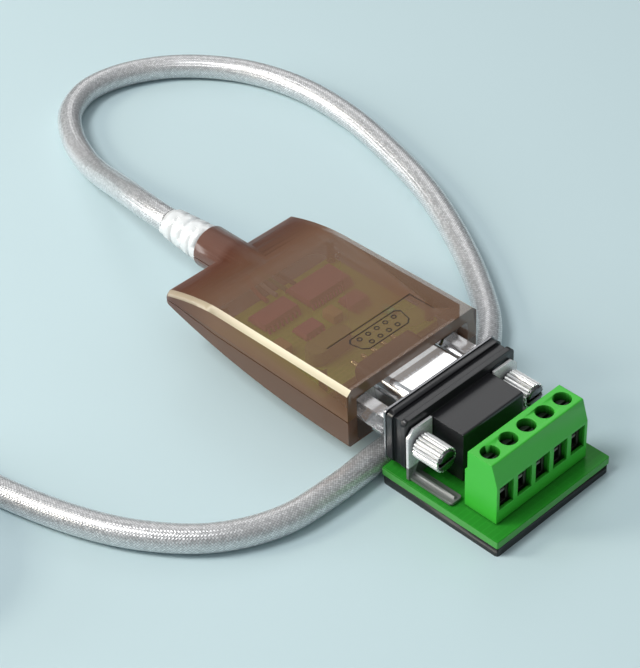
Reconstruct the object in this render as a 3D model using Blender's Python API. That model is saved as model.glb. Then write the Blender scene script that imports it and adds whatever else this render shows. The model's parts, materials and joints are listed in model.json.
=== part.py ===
"""A USB to serial converter joined to its screw-terminal adapter, modelled piece by piece.

Lengths are metres and +Z is up. Every piece is placed from the mating face: x runs across the
nine-way connector, y = 0 is the face where the adapter's flange meets the converter and y grows
towards the cable, and z = 0 is the connector's axis. The empty "mating_face" carries them all and
stands the assembly on the floor, z = 0, with the origin below the middle of the rigid pieces.
"""

import math

import bmesh
import bpy
from mathutils import Matrix, Vector

MM = 0.001
GAP = 0.3 * MM  # Clearance between pieces that touch

# Nine-way connector: the margins give the standard 16.3 by 7.9 mm socket shell, 25.0 mm between
# its screws and a 30.8 mm flange
PIN_PITCH = 2.77 * MM
ROW_PITCH = 2.84 * MM
PIN_DIAMETER = 1.0 * MM
SHELL_SIDE_MARGIN = 2.11 * MM  # From the outermost pin to the socket's shell
SHELL_ROW_MARGIN = 2.03 * MM
SHELL_SLANT = math.radians(10)
SOCKET_SHELL_LENGTH = 5.6 * MM
SOCKET_SHELL_WALL = 0.4 * MM
SHELL_SIDE_PLAY = 0.45 * MM  # Between the mated shells, left and right
SOCKET_PLATE = 0.5 * MM
SOCKET_FLANGE_MARGIN = 2.15 * MM
PLUG_SHELL_WALL = 0.45 * MM
PLUG_PLATE = 0.8 * MM
PLUG_FLANGE_MARGIN = 0.4 * MM
PLUG_SETBACK = 2.4 * MM  # From the hood's mouth to the plug's plate
JACK_PLAY = 0.563 * MM  # From the plug's shell to a jack post's corner
FLANGE_END = 2.9 * MM  # From a jack post's axis to the flange's end
INSERT_DEPTH = 5.0 * MM
PIN_REACH = 5.4 * MM
PIN_TAIL = 3.2 * MM
JACK_ACROSS_FLATS = 5.0 * MM
JACK_BORE = 3.4 * MM
JACK_STUD = 2.7 * MM

# Hood
HOOD_STANDOFF = 7.6 * MM  # From the mating face to the hood's mouth
HOOD_CHEEK = 2.5 * MM  # Wall beside the mouth
LIP_ABOVE = 2.7 * MM  # Wall over the mouth
LIP_BELOW = 0.5 * MM
HOOD_WALL = 1.1 * MM
TOP_CHAMFER = 1.1 * MM
UNDER_CHAMFER = 0.4 * MM
TAIL_TOP = 4.2 * MM
TAIL_BOTTOM = 1.0 * MM
TAIL_RADIUS = 1.3 * MM
TOP_DROOP = 1.1 * MM
TOP_FALL_LENGTH = 16.0 * MM
TOP_FALL_POWER = 1.8
BOTTOM_RISE_POWER = 2.4
SEAM_FRONT = 0.5 * MM
SEAM_MIDDLE = 1.1 * MM
SEAM_BEND_FROM_TAIL = 15.0 * MM
SEAM_END_FROM_TAIL = 3.0 * MM
LEDGE_WIDTH = 1.6 * MM
POST_DIAMETER = 1.8 * MM
POST_INSET = 1.4 * MM  # From the board's edge to the post's axis
PIN_MAP_LINE = 0.35 * MM
PIN_MAP_DEPTH = 0.25 * MM
PIN_MAP_BACK = 12.3 * MM
PIN_MAP_LEFT = 11.3 * MM
PIN_MAP_RIGHT = 11.9 * MM
PIN_MAP_RETURN = 6.7 * MM

# Cable boss and strain relief
BOSS_WALL = 0.85 * MM
BOSS_AXIS = 2.3 * MM
BOSS_END_FROM_TAIL = 6.4 * MM
RELIEF_NECK = 5.6 * MM
RELIEF_COLLAR = 7.2 * MM
RELIEF_COLLAR_WIDTH = 1.6 * MM
RELIEF_COLLAR_INSET = 2.6 * MM
RELIEF_INNER_LENGTH = 12.0 * MM
RELIEF_ROOT = 8.8 * MM
RELIEF_TIP = 7.0 * MM
RELIEF_LENGTH = 12.2 * MM
RELIEF_RINGS = 4
RELIEF_GROOVE = 0.45 * MM

# Converter board: three rows of parts, each size given as (across, along)
BOARD_THICKNESS = 1.6 * MM
BOARD_SIDE_PLAY = 0.7 * MM
BOARD_FRONT_MARGIN = 6.6 * MM
BOARD_BACK_MARGIN = 2.3 * MM
BOARD_TO_TAIL = 13.3 * MM
ROW_GAP = 1.65 * MM
CRYSTAL = (11.0 * MM, 4.6 * MM)
CRYSTAL_HEIGHT = 3.2 * MM
REGULATOR = (5.0 * MM, 4.0 * MM)
REGULATOR_X = 8.0 * MM
MEMORY = (5.2 * MM, 3.8 * MM)
MEMORY_X = -4.8 * MM
CAPACITOR = (2.6 * MM, 3.6 * MM)
CAPACITOR_X = (-12.4 * MM, 1.8 * MM)
BRIDGE = (12.0 * MM, 6.6 * MM)
LINE_DRIVER = (9.6 * MM, 4.8 * MM)
CHIP_SPLIT = -0.4 * MM  # The line that the last row's two chips stand clear of
CHIP_CLEARANCE = 1.0 * MM
CHIP_HEIGHT = 1.9 * MM
LEAD_WIDTH = 0.45 * MM
LEAD_THICKNESS = 0.25 * MM
LEAD_REACH = 0.9 * MM
LAMP = (1.6 * MM, 3.0 * MM)
LAMP_HEIGHT = 1.0 * MM
WIRE_DIAMETER = 1.0 * MM

# Adapter
SOCKET_BODY_DEPTH = 4.8 * MM
CHANNEL_FROM_FACE = 1.4 * MM
CHANNEL_WIDTH = 2.2 * MM
CHANNEL_DEPTH = 0.7 * MM
COVER_WIDTH = 17.0 * MM
COVER_DEPTH = 8.6 * MM
COVER_TOP = 3.9 * MM
BOARD_BELOW_FLANGE = 2.0 * MM
BOARD_SIDE_LIP = 0.8 * MM
BOARD_FRONT_LIP = 3.3 * MM
ADAPTER_BOARD_BACK = 0.8 * MM
BASE_PAD_THICKNESS = 2.0 * MM
BASE_PAD_INSET = 0.15 * MM
BRACKET_SHEET = 0.6 * MM
BRACKET_TOP = 4.2 * MM
BRACKET_CORNER = 1.5 * MM
FOOT_WIDTH = 3.1 * MM
FOOT_INSET = 0.3 * MM
FOOT_TO_TERMINAL = 1.3 * MM
FOOT_RIB = 0.6 * MM
THUMB_DIAMETER = 4.9 * MM
THUMB_LENGTH = 7.2 * MM
THUMB_RIDGES = 18
THUMB_RIDGE_HEIGHT = 0.22 * MM
THUMB_SHANK = 2.6 * MM
THUMB_SHANK_REACH = 5.0 * MM
THUMB_SLOT = (0.9 * MM, 1.2 * MM)  # Width, depth

# Screw terminal
POLES = 5
POLE_PITCH = 5.08 * MM
TERMINAL_END_WALL = 0.15 * MM
TERMINAL_STANDOFF = 5.0 * MM  # From the socket's cover
TERMINAL_TOP = 6.1 * MM
TERMINAL_TOP_DEPTH = 6.0 * MM
TERMINAL_BROW_DROP = 4.7 * MM
TERMINAL_DEPTH = 7.4 * MM
TERMINAL_RIB = 0.6 * MM
TERMINAL_RIB_HEIGHT = 9.1 * MM
SCREW_FROM_BACK = 3.1 * MM
WELL_INSET = 0.15 * MM  # How much narrower the screw's well is than the chamber, each side
SCREW_HEAD_HEIGHT = 1.4 * MM
SCREW_RECESS = 1.5 * MM
SCREW_SLOT = (0.6 * MM, 0.9 * MM)  # Width, depth
SHANK_PLAY = 0.15 * MM
POLE_WALL = 0.98 * MM
CHAMBER_FLOOR = -5.5 * MM
CHAMBER_ROOF = 2.5 * MM
CHAMBER_FROM_BACK = 1.0 * MM
ENTRY_TOP = 0.9 * MM
ENTRY_BOTTOM = -4.6 * MM
CAGE_DEPTH = 3.6 * MM
CAGE_HEIGHT = 5.1 * MM
CAGE_WALL = 0.6 * MM
CAGE_ROOF = 1.1 * MM
BLADE_THICKNESS = 0.6 * MM
BLADE_PLAY = 0.35 * MM
SOLDER_PIN = 0.9 * MM

# Cord and its far plug
CORD_DIAMETER = 5.8 * MM
CORD_STEP = 13.0 * MM
CORD_SIDES = 3  # Bevel resolution: ten sides round
COIL_CENTRE = Vector((-115.5 * MM, 69.5 * MM))
COIL_RADIUS = 32.0 * MM  # To the middle of the turns
COIL_TURNS_ACROSS = 2
COIL_LAYERS = 2
COIL_JOIN_ANGLE = math.radians(10.5)  # Where the loose stretch comes up beside the turns
TIE_WIDTH = 8.0 * MM
TIE_THICKNESS = 0.8 * MM
TIE_ANGLE = math.radians(125)
PLUG_BODY = (15.4 * MM, 27.0 * MM, 8.0 * MM)
PLUG_BODY_RADIUS = 2.4 * MM
PLUG_NECK = (7.4 * MM, 9.0 * MM)  # Diameter at the body, length
USB_SHELL = (12.0 * MM, 12.0 * MM, 4.5 * MM)
USB_SHELL_SHEET = 0.3 * MM
USB_WINDOW = 2.4 * MM
USB_TONGUE = 1.9 * MM

ROUND_SIDES = 20
ARC_STEPS = 4

# Sizes worked out from the others
SOCKET_SHELL_WIDTH = 4 * PIN_PITCH + PIN_DIAMETER + 2 * SHELL_SIDE_MARGIN
SOCKET_SHELL_HEIGHT = ROW_PITCH + PIN_DIAMETER + 2 * SHELL_ROW_MARGIN
SOCKET_FLANGE_HEIGHT = SOCKET_SHELL_HEIGHT + 2 * SOCKET_FLANGE_MARGIN
PLUG_SHELL_WIDTH = SOCKET_SHELL_WIDTH + 2 * (SHELL_SIDE_PLAY + PLUG_SHELL_WALL)
PLUG_SHELL_HEIGHT = SOCKET_SHELL_HEIGHT + 2 * (GAP + PLUG_SHELL_WALL)
PLUG_FLANGE_HEIGHT = PLUG_SHELL_HEIGHT + 2 * PLUG_FLANGE_MARGIN
JACK_CORNERS = 2 * JACK_ACROSS_FLATS / math.sqrt(3)
JACK_SPACING = PLUG_SHELL_WIDTH + JACK_CORNERS + 2 * JACK_PLAY
FLANGE_WIDTH = JACK_SPACING + 2 * FLANGE_END
HOOD_WIDTH = FLANGE_WIDTH + 2 * (GAP + HOOD_CHEEK)
HOOD_TOP = PLUG_FLANGE_HEIGHT / 2 + GAP + LIP_ABOVE
HOOD_BOTTOM = -PLUG_FLANGE_HEIGHT / 2 - GAP - LIP_BELOW
BOSS_DIAMETER = RELIEF_COLLAR + 2 * (GAP + BOSS_WALL)
BOARD_WIDTH = HOOD_WIDTH - 2 * (HOOD_WALL + BOARD_SIDE_PLAY)
CHAMBER_WIDTH = POLE_PITCH - POLE_WALL
CAGE_WIDTH = CHAMBER_WIDTH - 2 * GAP
CAGE_WINDOW = CAGE_WIDTH - 2 * CAGE_WALL
BLADE_WIDTH = CAGE_WINDOW - 2 * BLADE_PLAY
SCREW_HOLE = CHAMBER_WIDTH - 2 * WELL_INSET
SCREW_HEAD = SCREW_HOLE - 2 * GAP
SCREW_SHANK = CAGE_WINDOW - 2 * SHANK_PLAY

# Places worked out from the sizes
HOOD_FRONT = HOOD_STANDOFF
PLUG_PLATE_FRONT = HOOD_FRONT + PLUG_SETBACK
PLUG_PLATE_BACK = PLUG_PLATE_FRONT + PLUG_PLATE
INSERT_BACK = PLUG_PLATE_BACK + INSERT_DEPTH
BOARD_TOP = BOARD_THICKNESS / 2
BOARD_FRONT = INSERT_BACK + GAP
CRYSTAL_ROW = BOARD_FRONT + BOARD_FRONT_MARGIN + CRYSTAL[1] / 2
SMALL_ROW = CRYSTAL_ROW + CRYSTAL[1] / 2 + ROW_GAP + LEAD_REACH + REGULATOR[1] / 2
CHIP_ROW = SMALL_ROW + REGULATOR[1] / 2 + LEAD_REACH + ROW_GAP + LEAD_REACH + BRIDGE[1] / 2
BOARD_BACK = CHIP_ROW + BRIDGE[1] / 2 + LEAD_REACH + BOARD_BACK_MARGIN
HOOD_TAIL = BOARD_BACK + BOARD_TO_TAIL
BOSS_END = HOOD_TAIL + BOSS_END_FROM_TAIL
RELIEF_START = BOSS_END + GAP
RELIEF_END = RELIEF_START + RELIEF_LENGTH
SOCKET_PLATE_BACK = GAP
SOCKET_PLATE_FRONT = SOCKET_PLATE_BACK + SOCKET_PLATE
SOCKET_RIM = SOCKET_PLATE_FRONT + SOCKET_SHELL_LENGTH
COVER_FRONT = -SOCKET_BODY_DEPTH - COVER_DEPTH
TERMINAL_BACK = COVER_FRONT - TERMINAL_STANDOFF
TERMINAL_FRONT = TERMINAL_BACK - TERMINAL_DEPTH
ADAPTER_BOARD_TOP = -SOCKET_FLANGE_HEIGHT / 2 - BOARD_BELOW_FLANGE
ADAPTER_BOARD_BOTTOM = ADAPTER_BOARD_TOP - BOARD_THICKNESS
ADAPTER_BOARD_FRONT = TERMINAL_FRONT - BOARD_FRONT_LIP
ADAPTER_BOARD_WIDTH = FLANGE_WIDTH + 2 * BOARD_SIDE_LIP
FLOOR = ADAPTER_BOARD_BOTTOM - GAP - BASE_PAD_THICKNESS
BRACKET_BACK = -SOCKET_BODY_DEPTH - GAP
BRACKET_FRONT = BRACKET_BACK - BRACKET_SHEET
THUMB_BACK = BRACKET_FRONT - GAP
SCREW_Y = TERMINAL_BACK - SCREW_FROM_BACK
TERMINAL_BASE = ADAPTER_BOARD_TOP + GAP
TERMINAL_WIDTH = POLES * POLE_PITCH + 2 * TERMINAL_END_WALL
CORD_RADIUS = CORD_DIAMETER / 2
CORD_ON_FLOOR = FLOOR + CORD_RADIUS
COIL_BASE = FLOOR + TIE_THICKNESS + GAP
COIL_HEIGHT = COIL_LAYERS * CORD_DIAMETER
COIL_INNER = COIL_RADIUS - COIL_TURNS_ACROSS * CORD_RADIUS
COIL_OUTER = COIL_RADIUS + COIL_TURNS_ACROSS * CORD_RADIUS
POLE_X = [(pole - (POLES - 1) / 2) * POLE_PITCH for pole in range(POLES)]

# The cord's route from the strain relief to the coil, chosen by hand: x, y and height of its axis
CORD_START = Vector((0.0, RELIEF_END + GAP, BOSS_AXIS))
JOIN_DIRECTION = Vector((math.cos(COIL_JOIN_ANGLE), math.sin(COIL_JOIN_ANGLE)))
JOIN_POINT = COIL_CENTRE + JOIN_DIRECTION * (COIL_OUTER + GAP + CORD_RADIUS)
CORD_ROUTE = [
    CORD_START + Vector((0.0, 1.5 * MM, 0.0)),
    Vector((0.4 * MM, 86.0 * MM, 2.0 * MM)),
    Vector((2.4 * MM, 95.0 * MM, 0.2 * MM)),
    Vector((5.6 * MM, 105.0 * MM, -3.2 * MM)),
    Vector((8.8 * MM, 115.0 * MM, -6.6 * MM)),
    Vector((11.8 * MM, 124.0 * MM, -8.6 * MM)),
    Vector((16.0 * MM, 134.0 * MM, CORD_ON_FLOOR)),
    Vector((22.6 * MM, 143.0 * MM, CORD_ON_FLOOR)),
    Vector((32.4 * MM, 147.6 * MM, CORD_ON_FLOOR)),
    Vector((44.0 * MM, 145.6 * MM, CORD_ON_FLOOR)),
    Vector((55.0 * MM, 138.0 * MM, CORD_ON_FLOOR)),
    Vector((63.6 * MM, 125.0 * MM, CORD_ON_FLOOR)),
    Vector((67.4 * MM, 109.0 * MM, CORD_ON_FLOOR)),
    Vector((66.6 * MM, 92.0 * MM, CORD_ON_FLOOR)),
    Vector((63.0 * MM, 76.0 * MM, CORD_ON_FLOOR)),
    Vector((57.6 * MM, 59.0 * MM, CORD_ON_FLOOR)),
    Vector((50.0 * MM, 43.0 * MM, CORD_ON_FLOOR)),
    Vector((40.6 * MM, 27.6 * MM, CORD_ON_FLOOR)),
    Vector((30.0 * MM, 14.6 * MM, CORD_ON_FLOOR)),
    Vector((17.0 * MM, 6.8 * MM, CORD_ON_FLOOR)),
    Vector((3.0 * MM, 4.5 * MM, CORD_ON_FLOOR)),
    Vector((-12.0 * MM, 4.3 * MM, CORD_ON_FLOOR)),
    Vector((-26.0 * MM, 3.8 * MM, CORD_ON_FLOOR)),
    Vector((-39.0 * MM, 5.0 * MM, CORD_ON_FLOOR)),
    Vector((-50.6 * MM, 11.0 * MM, CORD_ON_FLOOR)),
    Vector((-59.6 * MM, 21.4 * MM, CORD_ON_FLOOR)),
    Vector((-65.8 * MM, 34.0 * MM, CORD_ON_FLOOR)),
    Vector((-70.4 * MM, 49.6 * MM, CORD_ON_FLOOR)),
    Vector((-73.0 * MM, 64.0 * MM, CORD_ON_FLOOR)),
    Vector((*JOIN_POINT, CORD_ON_FLOOR)),
]


class Frame:
    """The empty that carries every piece, and the materials, each made once."""

    def __init__(self):
        self.carrier = bpy.data.objects.new("mating_face", None)
        self.carrier.empty_display_size = 5 * MM
        self.carrier.location = (0, -(ADAPTER_BOARD_FRONT + RELIEF_END) / 2, -FLOOR)
        bpy.context.scene.collection.objects.link(self.carrier)

    def place(self, obj):
        bpy.context.scene.collection.objects.link(obj)
        obj.parent = self.carrier
        return obj


def clear_scene():
    for obj in list(bpy.data.objects):
        bpy.data.objects.remove(obj)


def finish(name, colour, roughness, metallic=0.0, alpha=1.0):
    """A Principled material, made on its first use."""
    found = bpy.data.materials.get(name)
    if found:
        return found
    made = bpy.data.materials.new(name)
    made.use_nodes = True
    shader = made.node_tree.nodes["Principled BSDF"]
    shader.inputs["Base Color"].default_value = (*colour, 1.0)
    shader.inputs["Roughness"].default_value = roughness
    shader.inputs["Metallic"].default_value = metallic
    shader.inputs["Alpha"].default_value = alpha
    made.diffuse_color = (*colour, alpha)
    return made


def amber(name):
    return finish(name, (0.23, 0.13, 0.09), 0.25, alpha=0.6)


def steel(name):
    return finish(name, (0.78, 0.78, 0.80), 0.22, 1.0)


def black_plastic(name):
    return finish(name, (0.03, 0.03, 0.035), 0.45)


def rounded(corners, radii, steps=ARC_STEPS):
    """A closed 2D outline with each corner turned into an arc; one radius, or one per corner."""
    if not isinstance(radii, (list, tuple)):
        radii = [radii] * len(corners)
    points = []
    for index, radius in enumerate(radii):
        corner = Vector(corners[index])
        before = (Vector(corners[index - 1]) - corner).normalized()
        after = (Vector(corners[(index + 1) % len(corners)]) - corner).normalized()
        if radius <= 0:
            points.append(tuple(corner))
            continue
        half = before.angle(after) / 2
        centre = corner + (before + after).normalized() * radius / math.sin(half)
        start = corner + before * radius / math.tan(half) - centre
        end = corner + after * radius / math.tan(half) - centre
        for step in range(steps + 1):
            turned = start.lerp(end, step / steps).normalized() * radius
            points.append(tuple(centre + turned))
    return points


def rectangle(width, height, centre=(0.0, 0.0)):
    across, up = centre
    return [
        (across - width / 2, up - height / 2),
        (across + width / 2, up - height / 2),
        (across + width / 2, up + height / 2),
        (across - width / 2, up + height / 2),
    ]


def ring_of(radius, centre=(0.0, 0.0), sides=ROUND_SIDES, turn=0.0):
    angles = [turn + 2 * math.pi * side / sides for side in range(sides)]
    return [(centre[0] + radius * math.cos(a), centre[1] + radius * math.sin(a)) for a in angles]


def shell_outline(width, height, radius):
    """The connector shell's outline: wide above, with both sides slanting in by ten degrees."""
    lean = height * math.tan(SHELL_SLANT)
    top, bottom = width / 2, width / 2 - lean
    corners = [(-bottom, -height / 2), (bottom, -height / 2), (top, height / 2), (-top, height / 2)]
    return rounded(corners, radius)


def along(axis, place, point):
    """Puts a 2D outline point at a place along an axis: X takes (y, z), Y takes (x, z), Z takes (x, y)."""
    first, second = point
    return {"X": (place, first, second), "Y": (first, place, second), "Z": (first, second, place)}[axis]


def add_loft(bm, axis, sections):
    """Skins a closed body through sections of equal point counts, each (place along the axis, outline)."""
    rings = [[bm.verts.new(along(axis, place, p)) for p in outline] for place, outline in sections]
    for lower, upper in zip(rings, rings[1:]):
        for index in range(len(lower)):
            following = (index + 1) % len(lower)
            bm.faces.new((lower[index], lower[following], upper[following], upper[index]))
    bm.faces.new(rings[0])
    bm.faces.new(rings[-1])


def add_prism(bm, axis, outline, low, high):
    add_loft(bm, axis, [(low, outline), (high, outline)])


def add_rod(bm, axis, centre, diameter, low, high, sides=ROUND_SIDES):
    add_prism(bm, axis, ring_of(diameter / 2, centre, sides), low, high)


def add_box(bm, low, high):
    add_prism(bm, "Z", rectangle(high[0] - low[0], high[1] - low[1],
                                 ((low[0] + high[0]) / 2, (low[1] + high[1]) / 2)), low[2], high[2])


def add_turned(bm, axis, centre, profile, sides=ROUND_SIDES):
    """A turned body: the profile lists (place along the axis, radius)."""
    add_loft(bm, axis, [(place, ring_of(radius, centre, sides)) for place, radius in profile])


def to_object(name, bm):
    bmesh.ops.recalc_face_normals(bm, faces=bm.faces)
    mesh = bpy.data.meshes.new(name)
    bm.to_mesh(mesh)
    bm.free()
    return bpy.data.objects.new(name, mesh)


def piece(frame, name, bm, material, smooth=True):
    """One sub-part, linked, dressed and carried by the frame."""
    obj = frame.place(to_object(name, bm))
    obj.data.materials.append(material)
    if smooth:
        obj.data.shade_smooth()
        obj.data.set_sharp_from_angle(angle=math.radians(35))
    return obj


def turn_about(obj, *place):
    """Puts a moving piece's origin on the axis it turns about or slides along; its mesh stays put."""
    obj.data.transform(Matrix.Translation(-Vector(place)))
    obj.location = place


def helper(frame, name, bm):
    """A body that only shapes others: it shows as wire and stays out of the render."""
    obj = frame.place(to_object(name, bm))
    obj.hide_render = True
    obj.display_type = "WIRE"
    return obj


def shape(obj, operation, other):
    """Adds one exact Boolean: DIFFERENCE, UNION or INTERSECT."""
    modifier = obj.modifiers.new(f"{operation.lower()} {other.name}", "BOOLEAN")
    modifier.operation = operation
    modifier.solver = "EXACT"
    modifier.object = other


def hood_share(y):
    """How far along the hood a place is: 0 at the mouth and before it, 1 at the tail."""
    return max(0.0, (y - HOOD_FRONT) / (HOOD_TAIL - HOOD_FRONT))


def hood_top(y, inset=0.0):
    """The top's height: it droops a little all along and falls away over its last stretch."""
    droop = TOP_DROOP * hood_share(y) ** 2
    fall = max(0.0, 1 - (HOOD_TAIL - y) / TOP_FALL_LENGTH)
    return HOOD_TOP - droop - (HOOD_TOP - TOP_DROOP - TAIL_TOP) * fall**TOP_FALL_POWER - inset


def hood_bottom(y, inset=0.0):
    return HOOD_BOTTOM + (TAIL_BOTTOM - HOOD_BOTTOM) * hood_share(y) ** BOTTOM_RISE_POWER + inset


def hood_outline(inset, front, stations=14, above=0.0):
    """The leaf-shaped side profile, set in from the outside all round and a further step above."""
    tail = HOOD_TAIL - inset
    under = [front + (tail - front) * step / stations for step in range(stations + 1)]
    fall_start = HOOD_TAIL - TOP_FALL_LENGTH
    over = [tail - (tail - fall_start) * step / stations for step in range(stations + 1)]
    corners = [(y, hood_bottom(y, inset)) for y in under]
    corners += [(y, hood_top(y, inset + above)) for y in [*over, front]]
    radii = [0.0] * len(corners)
    nose = min(TAIL_RADIUS, 0.45 * (hood_top(tail, inset + above) - hood_bottom(tail, inset)))
    radii[stations] = radii[stations + 1] = max(nose, 0.0)
    return rounded(corners, radii)


def seam_line():
    """Where the two shells part, seen from the side, from before the mouth to past the boss."""
    return [
        (HOOD_FRONT - 5 * MM, SEAM_FRONT),
        (HOOD_FRONT, SEAM_FRONT),
        (HOOD_TAIL - SEAM_BEND_FROM_TAIL, SEAM_MIDDLE),
        (HOOD_TAIL - SEAM_END_FROM_TAIL, BOSS_AXIS),
        (BOSS_END + 5 * MM, BOSS_AXIS),
    ]


def hood_body(frame, name):
    """The hood before its hollow and its seam: leaf, chamfered long edges and cable boss."""
    above = TOP_CHAMFER - UNDER_CHAMFER
    half = HOOD_WIDTH / 2
    left = [
        (-half, hood_outline(UNDER_CHAMFER, HOOD_FRONT, above=above)),
        (-half + UNDER_CHAMFER, hood_outline(0.0, HOOD_FRONT, above=above)),
        (-half + TOP_CHAMFER, hood_outline(0.0, HOOD_FRONT)),
    ]
    bm = bmesh.new()
    add_loft(bm, "X", left + [(-x, outline) for x, outline in reversed(left)])
    obj = piece(frame, name, bm, amber(name))
    bm = bmesh.new()
    add_rod(bm, "Y", (0, BOSS_AXIS), BOSS_DIAMETER, HOOD_TAIL - SEAM_BEND_FROM_TAIL, BOSS_END, sides=32)
    shape(obj, "UNION", helper(frame, f"{name}_boss", bm))
    return obj


def hood_hollow(frame):
    """Everything that is cut from both shells: cavity, mouth, cable bore and collar groove."""
    bm = bmesh.new()
    cavity_front = PLUG_PLATE_BACK + GAP
    half = HOOD_WIDTH / 2 - HOOD_WALL
    add_prism(bm, "X", hood_outline(HOOD_WALL, cavity_front), -half, half)
    cavity = helper(frame, "hood_cavity", bm)
    bm = bmesh.new()
    mouth = rectangle(FLANGE_WIDTH + 2 * GAP, PLUG_FLANGE_HEIGHT + 2 * GAP)
    add_prism(bm, "Y", rounded(mouth, 0.6 * MM), HOOD_FRONT - 1 * MM, cavity_front + 1 * MM)
    mouth = helper(frame, "hood_mouth", bm)
    bm = bmesh.new()
    neck = RELIEF_NECK / 2 + GAP
    collar = RELIEF_COLLAR / 2 + GAP
    groove = BOSS_END - RELIEF_COLLAR_INSET
    add_turned(bm, "Y", (0, BOSS_AXIS), [
        (RELIEF_START - RELIEF_INNER_LENGTH - GAP, neck),
        (groove - RELIEF_COLLAR_WIDTH - 2 * GAP, neck),
        (groove - RELIEF_COLLAR_WIDTH - GAP, collar),
        (groove, collar),
        (groove + GAP, neck),
        (BOSS_END + 1 * MM, neck),
    ])
    bore = helper(frame, "cable_bore", bm)
    return [cavity, mouth, bore]


def seam_side(frame, name, direction):
    """The space above (1) or below (-1) the seam, half the seam's gap away from it."""
    line = [(y, z + direction * GAP / 2) for y, z in seam_line()]
    far = direction * 40 * MM
    outline = line + [(line[-1][0], far), (line[0][0], far)]
    bm = bmesh.new()
    add_prism(bm, "X", outline, -HOOD_WIDTH, HOOD_WIDTH)
    return helper(frame, name, bm)


def pin_map(frame):
    """The fine L-shaped line cut in the top, round the place of the connector's pin map."""
    bm = bmesh.new()
    back = HOOD_FRONT + PIN_MAP_BACK
    floor = hood_top(back) - PIN_MAP_DEPTH
    above = HOOD_TOP + 1 * MM
    line = PIN_MAP_LINE / 2
    corners = [
        (-PIN_MAP_LEFT, back - line),
        (PIN_MAP_RIGHT - line, back - line),
        (PIN_MAP_RIGHT - line, back - PIN_MAP_RETURN),
        (PIN_MAP_RIGHT + line, back - PIN_MAP_RETURN),
        (PIN_MAP_RIGHT + line, back + line),
        (-PIN_MAP_LEFT, back + line),
    ]
    add_prism(bm, "Z", corners, floor, above)
    return helper(frame, "pin_map_line", bm)


def hood_shells(frame):
    hollow = hood_hollow(frame)
    upper = hood_body(frame, "hood_upper")
    lower = hood_body(frame, "hood_lower")
    for shell in (upper, lower):
        for cutter in hollow:
            shape(shell, "DIFFERENCE", cutter)
    bm = bmesh.new()
    for x in (-1, 1):
        for y in (BOARD_FRONT + POST_INSET, BOARD_BACK - POST_INSET):
            add_rod(bm, "Z", (x * (BOARD_WIDTH / 2 - POST_INSET), y), POST_DIAMETER,
                    BOARD_TOP + GAP, hood_top(y, HOOD_WALL / 2), sides=12)
    posts = helper(frame, "hood_posts", bm)
    bm = bmesh.new()
    for side in (-1, 1):
        inner = HOOD_WIDTH / 2 - HOOD_WALL - LEDGE_WIDTH
        outer = HOOD_WIDTH / 2 - HOOD_WALL / 2
        stations = [BOARD_FRONT + (BOARD_BACK - BOARD_FRONT) * step / 8 for step in range(9)]
        outline = [(y, hood_bottom(y, HOOD_WALL / 2)) for y in stations]
        outline += [(BOARD_BACK, -BOARD_TOP - GAP), (BOARD_FRONT, -BOARD_TOP - GAP)]
        add_prism(bm, "X", outline, *sorted((side * inner, side * outer)))
    ledges = helper(frame, "board_ledges", bm)
    shape(upper, "INTERSECT", seam_side(frame, "above_seam", 1))
    shape(upper, "UNION", posts)
    shape(upper, "DIFFERENCE", pin_map(frame))
    shape(lower, "INTERSECT", seam_side(frame, "below_seam", -1))
    shape(lower, "UNION", ledges)


def strain_relief(frame):
    """The clear relief moulded on the cable: neck and collar in the boss, ringed taper outside."""
    groove = BOSS_END - RELIEF_COLLAR_INSET
    profile = [
        (RELIEF_START - RELIEF_INNER_LENGTH, RELIEF_NECK / 2),
        (groove - RELIEF_COLLAR_WIDTH, RELIEF_NECK / 2),
        (groove - RELIEF_COLLAR_WIDTH, RELIEF_COLLAR / 2),
        (groove - GAP, RELIEF_COLLAR / 2),
        (groove - GAP, RELIEF_NECK / 2),
        (RELIEF_START, RELIEF_NECK / 2),
    ]
    pitch = RELIEF_LENGTH / RELIEF_RINGS
    for ring in range(RELIEF_RINGS):
        for share, dip in ((0.0, 0.0), (0.62, 0.0), (0.7, RELIEF_GROOVE), (0.92, RELIEF_GROOVE)):
            place = (ring + share) * pitch
            radius = RELIEF_ROOT / 2 + (RELIEF_TIP - RELIEF_ROOT) / 2 * place / RELIEF_LENGTH
            profile.append((RELIEF_START + place, radius - dip))
    profile.append((RELIEF_END, RELIEF_TIP / 2 - RELIEF_GROOVE))
    bm = bmesh.new()
    add_turned(bm, "Y", (0, BOSS_AXIS), profile, sides=24)
    piece(frame, "strain_relief", bm, finish("clear_pvc", (0.86, 0.88, 0.88), 0.3, alpha=0.8))


def pin_places():
    """The nine ways: five above and four below, (x, z) of each."""
    upper = [((way - 2) * PIN_PITCH, ROW_PITCH / 2) for way in range(5)]
    lower = [((way - 1.5) * PIN_PITCH, -ROW_PITCH / 2) for way in range(4)]
    return upper + lower


def jack_places():
    return [("left", -JACK_SPACING / 2), ("right", JACK_SPACING / 2)]


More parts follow.
